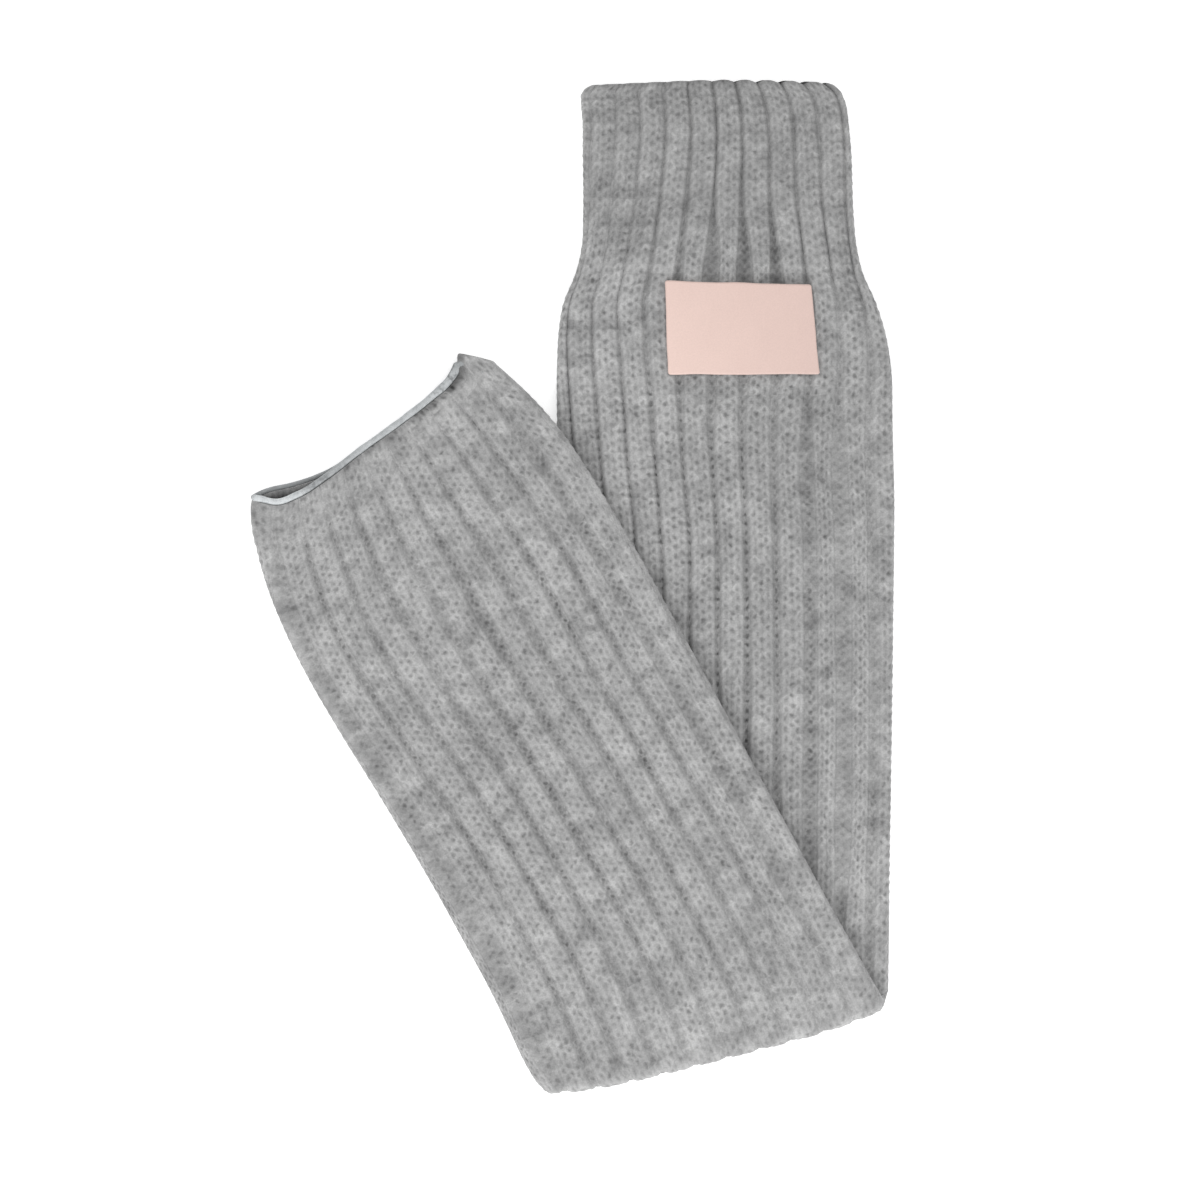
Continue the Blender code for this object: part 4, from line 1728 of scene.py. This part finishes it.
    def surface(self, wale: Array, row: Array, inner: bool) -> tuple[Array, dict[str, Array], Array]:
        """Points of the outer or the inner surface.

        Args:
            wale: Wale coordinates, one to each column.
            row: Row coordinates, one to each row of points.
            inner: True for the plain inside.

        Returns:
            Points, rows by columns by three, what the shading of each needs, and its swayed row.
        """
        form = self.form
        row_grid, wale_grid = np.meshgrid(row, wale, indexing="ij")
        along = row_grid * form.length / self.rows
        stitch_row = row_grid + self.row_sway.at(wale_grid, row_grid, form.ribs)
        wandering = self.wale_sway.at(wale_grid, row_grid, form.ribs)
        share, line = form.lay(self.rib_of(wale_grid, along) + wandering / WALES, along)
        across, up, out, rise = form.loop(share, line, form.wall if inner else 0.0)
        if inner:
            shading = self.inside_shading(along)
        else:
            spots = Spots(wale_grid, stitch_row, across, along, rise)
            parts = self.rib_parts(spots)
            shading = self.outside_shading(spots, parts)
            depth = self.relief(spots, parts)
            across, up = across - depth * out, up - depth * rise
        past = eased(form.past_fold(across, along), 0.0, form.fold_length)
        facing = np.clip(rise, 0.0, 1.0) * (1 - past) - np.clip(-rise, 0.0, 1.0) * past
        dent = self.dents(across, along) * facing
        on_label = eased(up, form.wall, form.hollow)
        shift = form.end_shift(across, line, up)
        shift = shift + self.scallops(wale_grid, across, along, on_label)
        near = fading(form.length - along, self.corner_rows)
        shift = shift + near * Curve.of(CORNER_FILL, 1).at(form.side_share(across, line))
        lift = form.mouth_lift(across, line, up)
        return form.fold(across, along + shift, up - dent - lift), shading, stitch_row

    def build(self, stretch: PieceRows, material: Material) -> Thing:
        """Makes one stretch: an outer and an inner grid, joined at both ends.

        Args:
            stretch: The rows it covers and the walls that show.
            material: The yarn's finish.

        Returns:
            The piece.
        """
        wale = self.wales(stretch.shown)
        rows = stretch.last - stretch.first
        fine = np.linspace(stretch.first, stretch.last, rows * self.samples_per_row + 1)
        coarse = np.linspace(stretch.first, stretch.last, rows // self.inner_row_step + 1)
        outer, shading, outer_row = self.surface(wale, fine, inner=False)
        inner, inner_shading, inner_row = self.surface(wale, coarse, inner=True)
        count = len(wale)
        start = len(fine) * count
        here = np.arange(count)
        last_outer, last_inner = start - count + here, start + (len(coarse) - 1) * count + here
        near = quads(here, start + here, start + np.roll(here, -1), np.roll(here, -1))
        far = quads(last_outer, np.roll(last_outer, -1), np.roll(last_inner, -1), last_inner)
        inner_quads = ring_quads(len(coarse), count, start)[:, ::-1]
        faces = np.concatenate([ring_quads(len(fine), count), inner_quads, near, far])
        lengthwise = np.concatenate([outer_row.ravel(), inner_row.ravel()])[faces]
        both = {key: (shading[key].ravel(), inner_shading[key].ravel()) for key in shading}
        data = MeshData(
            np.concatenate([outer.reshape(-1, 3), inner.reshape(-1, 3)]),
            faces,
            uv=np.stack([self.unwrapped(faces, count, wale), lengthwise], axis=-1),
            values={key: np.concatenate(pair) for key, pair in both.items()},
            sharp_loops=[here, last_outer, start + here, last_inner],
        )
        return data.build(stretch.name, material)

    def unwrapped(self, faces: Array, count: int, wale: Array) -> Array:
        """Wale coordinates of face corners, carried on past the last column.

        Args:
            faces: Corner indices.
            count: Columns of points.
            wale: Each column's wale.

        Returns:
            A wale for each corner.
        """
        column = faces % count
        around = wale[column]
        closing = (column == 0) & (column.max(axis=1, keepdims=True) == count - 1)
        return np.where(closing, around + WALES * self.form.ribs, around)

    def cut(self, stretch: PieceRows) -> Pair:
        """Flat size of a stretch: the mean way round the tube, and its length.

        Args:
            stretch: The rows it covers.

        Returns:
            Width and length.
        """
        row_length = self.form.length / self.rows
        line = np.arange(stretch.first, stretch.last + 1) * row_length
        left, right = self.form.half_widths(line)
        return float(2 * (left + right).mean()), (stretch.last - stretch.first) * row_length

    def dress(self, material: Material) -> None:
        """Builds, places and reports every stretch of the tube.

        Args:
            material: The yarn's finish.
        """
        for stretch in self.stretches():
            piece = self.build(stretch, material)
            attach(piece, "root")
            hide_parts("ribbed_tube")
            width, length = self.cut(stretch)
            faces = len(piece.data.polygons)
            LOG.info("%s: %d faces, cut %.3f by %.3f m", piece.name, faces, width, length)
        LOG.info("tube: %d rows of %.2f mm", self.rows, self.form.length / self.rows * 1000)


# ------------------------------------------------------------------------- edging and label


@dataclass
class MouthEdging:
    """The thin rolled edging round the open mouth."""

    form: TubeForm
    width: float = 0.0028
    thickness: float = 0.0024
    clearance: float = 0.00005
    sides: int = 14
    straight_points: int = 120
    turn_points: int = 10
    swell: float = 0.07
    swell_seed: int = 21
    swell_length: float = 4.0  # millimetres
    back_lead: float = 0.5
    # painted shade on the far wall's rim, a factor on the edging's colour
    back_shade: float = 0.68
    back_width: float = 0.72
    tuck: float = 0.0046
    tuck_rise: Pair = (0.815, 0.05)  # start and span, as shares of the half width
    tuck_thinning: float = 0.6
    closing_step: float = 1.0  # millimetres, in the coordinates for the finish

    def shares(self) -> Array:
        """Shares round the mouth, close together on its two turns.

        Returns:
            Shares of the way round.
        """
        left, right = (float(w) for w in self.form.half_widths(np.array(self.form.length)))
        inset = self.form.wall / 2
        radius = self.form.height / 2 - inset
        straight = left + right - 2 * inset - 2 * radius
        turn = math.pi * radius
        whole = 2 * straight + 2 * turn
        starts = []
        for start in (straight / 2, 3 * straight / 2 + turn):
            starts.append(start + turn * np.arange(self.turn_points) / self.turn_points)
            starts.append(start + turn + straight * np.arange(self.straight_points) / self.straight_points)
        return np.concatenate(starts) / whole

    def rim(self, beyond: float) -> Array:
        """The middle of the wall's end, or a line a little beyond it along the cloth.

        Args:
            beyond: How far beyond.

        Returns:
            Points round the mouth.
        """
        share = self.shares()
        along = np.full_like(share, self.form.length)
        across, up, _, _ = self.form.loop(share, along, self.form.wall / 2)
        shift = self.form.end_shift(across, along, up)
        lift = self.form.mouth_lift(across, along, up)
        return self.form.fold(across, along + shift + beyond, up - lift)

    def on_back(self) -> tuple[Array, Array]:
        """Where the rim is the far wall's, seen from above once folded, and its places across.

        Returns:
            1 on the far wall and 0 on the near one, and places from -1 to 1.
        """
        share = self.shares()
        line = np.full_like(share, self.form.length)
        across, _, _, rise = self.form.loop(share, line, self.form.wall / 2)
        return smooth_step(rise + self.back_lead), self.form.side_share(across, line)

    def path(self, back: Array, place: Array) -> tuple[Array, Array, Array]:
        """Finds where the edging's oval profile goes, square to the rim.

        It is thinner on the far wall, and tucked in under the knit at the right corner.

        Args:
            back: 1 on the far wall and 0 on the near one.
            place: Places across the mouth, from -1 to 1.

        Returns:
            The profile's middles, and its half thickness and half width as vectors.
        """
        rim = self.rim(0.0)
        outward = self.rim(self.width / 2) - rim
        ahead = along_loop(rim)
        outward = unit(outward - (outward * ahead).sum(axis=1, keepdims=True) * ahead)
        tucked = eased(place, *self.tuck_rise)[:, None]
        front = Curve.of(MOUTH_SHADE, 3).at(place)
        width = self.width * blend(front, self.back_width, back)[:, None]
        centre = rim + outward * (width / 2 + self.clearance - self.tuck * tucked)
        ahead = along_loop(centre)
        thick = self.thickness / 2 * (1 - self.tuck_thinning * tucked) * unit(np.cross(ahead, outward))
        return centre, thick, width / 2 * unit(np.cross(thick, ahead))

    def build(self, material: Material) -> Thing:
        """Carries the profile along the rim, with painted shade on the far wall and a painted highlight at
        the near left end.

        Args:
            material: The edging's finish.

        Returns:
            The piece.
        """
        back, place = self.on_back()
        centre, thick, wide = self.path(back, place)
        steps = np.linalg.norm(np.roll(centre, -1, axis=0) - centre, axis=1)
        travelled = np.cumsum(steps) * MILLIMETRES
        noise = SoftNoise(self.swell_seed).at(travelled / self.swell_length, 0 * travelled)
        # Painted light: brighter at the near left end, with painted shade on the far wall
        shade = blend(Curve.of(MOUTH_SHADE, 2).at(place), self.back_shade, back)
        specks = Curve.of(MOUTH_SHADE, 4).at(place) * (1 - back)
        angle = 2 * math.pi * np.arange(self.sides) / self.sides
        rise, reach = np.cos(angle)[None, :, None], np.sin(angle)[None, :, None]
        spoke = rise * thick[:, None] + reach * wide[:, None]
        points = centre[:, None] + (1 + self.swell * noise)[:, None, None] * spoke
        count = len(centre)
        grid = ring_quads(count + 1, self.sides)
        loop = np.concatenate([np.arange(count), [0]])
        faces = loop[grid // self.sides] * self.sides + grid % self.sides
        lengthwise = np.concatenate([travelled, [travelled[-1] + self.closing_step]])
        round_it = (grid % self.sides) / self.sides * math.pi * self.width * MILLIMETRES
        data = MeshData(
            points.reshape(-1, 3),
            faces,
            uv=np.stack([lengthwise[grid // self.sides], round_it], axis=-1),
            values={"shade": np.repeat(shade, self.sides), "specks": np.repeat(specks, self.sides)},
        )
        piece = data.build("rolled_edging", material)
        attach(piece, "root")
        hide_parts("mouth_edging")
        LOG.info("%s: %d faces, %.0f mm round", piece.name, len(faces), travelled[-1])
        return piece


@dataclass
class WovenLabel:
    """The bare woven label, a thin plate with rounded edges that follows the ribs below.

    Its edges waver with a noise of their own on each pair of sides, which fades inwards.
    """

    form: TubeForm
    top: tuple[Pair, Pair] = ((-0.0223, 0.0814), (0.0365, 0.0829))
    bottom: tuple[Pair, Pair] = ((-0.0211, 0.1193), (0.0401, 0.1193))
    thickness: float = 0.0010
    border_share: float = 0.45
    gap: float = 0.0003
    ripple: float = 0.00015
    columns: int = 160
    rows: int = 100
    edge_round: float = 0.0006
    corner_round: float = 0.0011
    edge_waver: float = 0.00022
    waver_seeds: tuple[int, int] = (31, 32)
    waver_lengths: Pair = (0.007, 0.009)
    waver_start: float = 20.0
    waver_between_sides: float = 3.3
    waver_power: int = 6

    def sheet(self, right: Array, down: Array, height: Array) -> Array:
        """Points over the ribs' crests, at places given as shares of the label.

        Args:
            right: Shares of the width.
            down: Shares of the height.
            height: Heights over the crests.

        Returns:
            Points in the frame's coordinates.
        """
        right, down = self.rounded(right, down)
        top, bottom = (blend(*np.array(ends), right[..., None]) for ends in (self.top, self.bottom))
        across, along = np.moveaxis(blend(top, bottom, down[..., None]), -1, 0)
        left_half, right_half = (Curve.of(OUTLINE, n).at(along) for n in (1, 2))
        pitch = 2 * (left_half + right_half) / self.form.ribs
        ripple = self.ripple * (1 + np.cos(2 * math.pi * across / pitch))
        return self.form.fold(across, along, self.form.height + height + ripple)

    @property
    def size(self) -> Pair:
        """Mean width and height of the label.

        Returns:
            Both in metres.
        """
        wide = (self.top[1][0] - self.top[0][0] + self.bottom[1][0] - self.bottom[0][0]) / 2
        high = (self.bottom[0][1] - self.top[0][1] + self.bottom[1][1] - self.top[1][1]) / 2
        return wide, high

    def waver(self, pair: int, place: Array, off: Array, half: float) -> Array:
        """How far one pair of sides draws inwards.

        Args:
            pair: 0 for the left and right sides, 1 for the top and bottom.
            place: Places along the sides.
            off: Places square to them, from the label's middle.
            half: Half the distance between the sides.

        Returns:
            Moves of minus twice the waver up to 0 at the sides, and nearly 0 in the middle.
        """
        start = self.waver_start
        side = np.sign(off) * self.waver_between_sides + start
        noise = SoftNoise(self.waver_seeds[pair]).at(place / self.waver_lengths[pair] + start, side)
        return (np.abs(off) / half) ** self.waver_power * self.edge_waver * (noise - 1)

    def rounded(self, right: Array, down: Array) -> tuple[Array, Array]:
        """Rounds the corners and lets the edges waver a little.

        Within a corner's square, u and v run from its inner corner to the label's edges, and
        each is shortened to u sqrt(1 - v^2 / 2), which turns the square into a quarter disc.

        Args:
            right: Shares of the width.
            down: Shares of the height.

        Returns:
            The moved shares.
        """
        wide, high = self.size
        x, y = (right - 0.5) * wide, (down - 0.5) * high
        start_x, start_y = wide / 2 - self.corner_round, high / 2 - self.corner_round
        u = np.clip((np.abs(x) - start_x) / self.corner_round, 0.0, 1.0)
        v = np.clip((np.abs(y) - start_y) / self.corner_round, 0.0, 1.0)
        round_x = np.where(u > 0, start_x + self.corner_round * u * np.sqrt(1 - v**2 / 2), np.abs(x))
        round_y = np.where(v > 0, start_y + self.corner_round * v * np.sqrt(1 - u**2 / 2), np.abs(y))
        inward_x, inward_y = self.waver(0, y, x, wide / 2), self.waver(1, x, y, high / 2)
        x, y = np.sign(x) * (round_x + inward_x), np.sign(y) * (round_y + inward_y)
        return x / wide + 0.5, y / high + 0.5

    def faces(self) -> Array:
        """Faces of the upper and the lower grid, and of the rim that joins their borders.

        Returns:
            Corner indices, four to a face.
        """
        across = self.columns + 1
        count = across * (self.rows + 1)
        row, column = np.meshgrid(np.arange(self.rows), np.arange(self.columns), indexing="ij")
        corner = row * across + column
        top = quads(corner, corner + 1, corner + across + 1, corner + across)
        sides = [
            np.arange(self.columns),
            np.arange(self.rows) * across + self.columns,
            self.rows * across + np.arange(self.columns, 0, -1),
            np.arange(self.rows, 0, -1) * across,
        ]
        border = np.concatenate(sides)
        after = np.roll(border, -1)
        rim = quads(border, border + count, after + count, after)
        return np.concatenate([top, top[:, ::-1] + count, rim])

    def build(self, material: Material) -> Thing:
        """Makes the label from an upper and a lower grid joined at their borders.

        Args:
            material: The satin's finish.

        Returns:
            The piece.
        """
        right, down = np.meshgrid(np.linspace(0, 1, self.columns + 1), np.linspace(0, 1, self.rows + 1))
        wide, high = self.size
        edge = np.minimum(np.minimum(right, 1 - right) * wide, np.minimum(down, 1 - down) * high)
        fall = np.clip(1 - edge / self.edge_round, 0.0, 1.0)
        swelling = blend(self.border_share, 1.0, np.sqrt(1 - fall**2))
        upper = self.sheet(right, down, self.gap + self.thickness * swelling)
        lower = self.sheet(right, down, np.full_like(right, self.gap))
        faces = self.faces()
        flat = np.stack([right * wide, down * high], axis=-1).reshape(-1, 2) * MILLIMETRES
        points = np.concatenate([upper.reshape(-1, 3), lower.reshape(-1, 3)])
        data = MeshData(points, faces, uv=np.concatenate([flat, flat])[faces])
        piece = data.build("satin_label", material)
        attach(piece, "root")
        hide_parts("label")
        LOG.info("%s: %d faces, cut %.3f by %.3f m", piece.name, len(faces), wide, high)
        return piece


# ------------------------------------------------------------------------- studio


@dataclass(frozen=True)
class AreaLight:
    """A square light, aimed at the origin."""

    name: str
    place: tuple[float, float, float]
    size: float
    power: float

    def hang(self) -> None:
        """Puts the light in the scene."""
        data = bpy.data.lights.new(self.name, "AREA")
        data.size = self.size
        data.energy = self.power
        light = in_scene(self.name, data)
        light.location = self.place
        x, y, z = self.place
        light.rotation_euler = (math.atan2(math.hypot(x, y), z), 0.0, math.atan2(y, x) + math.pi / 2)


@dataclass(frozen=True)
class Studio:
    """Pale floor, soft light from above and the camera straight over the garment."""

    frame_width: float = 0.480
    camera_height: float = 3.00
    sensor: float = 36.0
    frame_centre: Pair = (0.0114, -0.0054)
    floor_size: float = 6.0
    floor_drop: float = 0.0003
    floor_colour: Colour = (0.93, 0.93, 0.93)
    floor_roughness: float = 0.9
    floor_glow: float = 0.45
    white: Colour = (1.0, 1.0, 1.0)
    room_glow: float = 0.76
    lights: tuple[AreaLight, ...] = (
        AreaLight("key", (-0.2, -1.5, 0.9), 0.9, 13.0),
        AreaLight("fill", (1.0, 0.6, 1.6), 1.2, 4.0),
    )

    def floor(self) -> Thing:
        """Lays the floor just under the garment.

        Returns:
            The floor.
        """
        half = self.floor_size / 2
        low = -self.floor_drop
        corners = [(-half, -half, low), (half, -half, low), (half, half, low), (-half, half, low)]
        data = bpy.data.meshes.new("floor")
        data.from_pydata(corners, [], [(0, 1, 2, 3)])
        material = bpy.data.materials.new("pale_floor")
        material.use_nodes = True
        shader = material.node_tree.nodes["Principled BSDF"]
        shader.inputs["Base Color"].default_value = (*self.floor_colour, 1.0)
        shader.inputs["Roughness"].default_value = self.floor_roughness
        shader.inputs["Emission Color"].default_value = (*self.white, 1.0)
        shader.inputs["Emission Strength"].default_value = self.floor_glow
        data.materials.append(material)
        floor = in_scene("floor", data)
        return floor

    def camera(self) -> None:
        """Sets the camera over the frame's centre, looking straight down."""
        data = bpy.data.cameras.new("overhead")
        data.sensor_width = self.sensor
        data.lens = self.sensor * self.camera_height / self.frame_width
        camera = in_scene("overhead", data)
        camera.location = (*self.frame_centre, self.camera_height)
        bpy.context.scene.camera = camera

    def light(self) -> None:
        """Lights the scene softly from all round, and a little more from beyond the fold."""
        world = bpy.data.worlds.new("soft_room")
        world.use_nodes = True
        background = world.node_tree.nodes["Background"]
        background.inputs[0].default_value = (*self.white, 1.0)
        background.inputs[1].default_value = self.room_glow
        bpy.context.scene.world = world
        for light in self.lights:
            light.hang()
        view = bpy.context.scene.view_settings
        view.view_transform = "Standard"
        view.look = "None"
        view.exposure = 0.0


def placed_form() -> TubeForm:
    """The tube's form, set on the frame by the label's lowest corner and the tube's lowest point.

    Returns:
        The form, with its offset.
    """
    bare = TubeForm()
    label = WovenLabel(bare, corner_round=SQUARE_CORNER, edge_waver=0.0)
    across, down = (np.linspace(0, 1, count + 1) for count in CAD_LABEL_PANELS)
    right, down = np.meshgrid(across, down)
    corner = label.sheet(right, down, np.full_like(right, label.gap)).reshape(-1, 3).min(axis=0)
    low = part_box("label")[0]
    return TubeForm(offset=(low.x - corner[0], low.y - corner[1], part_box("ribbed_tube")[0].z))


def main() -> None:
    """Builds every piece in order and reports it."""
    logging.basicConfig(level=logging.INFO, format="%(name)s: %(message)s")
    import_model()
    form = placed_form()
    studio = Studio()
    studio.floor()
    studio.camera()
    studio.light()
    edging = MouthEdging(form).build(RolledEdging("rolled_edging_finish", 0.80, 0.1).material())
    KnittedTube(form).dress(HeatherYarn("heather_yarn", 0.92, 0.15).material())
    WovenLabel(form).build(SatinLabelCloth("satin_label_finish", 0.45, 0.2).material())


if __name__ == "__main__":
    main()
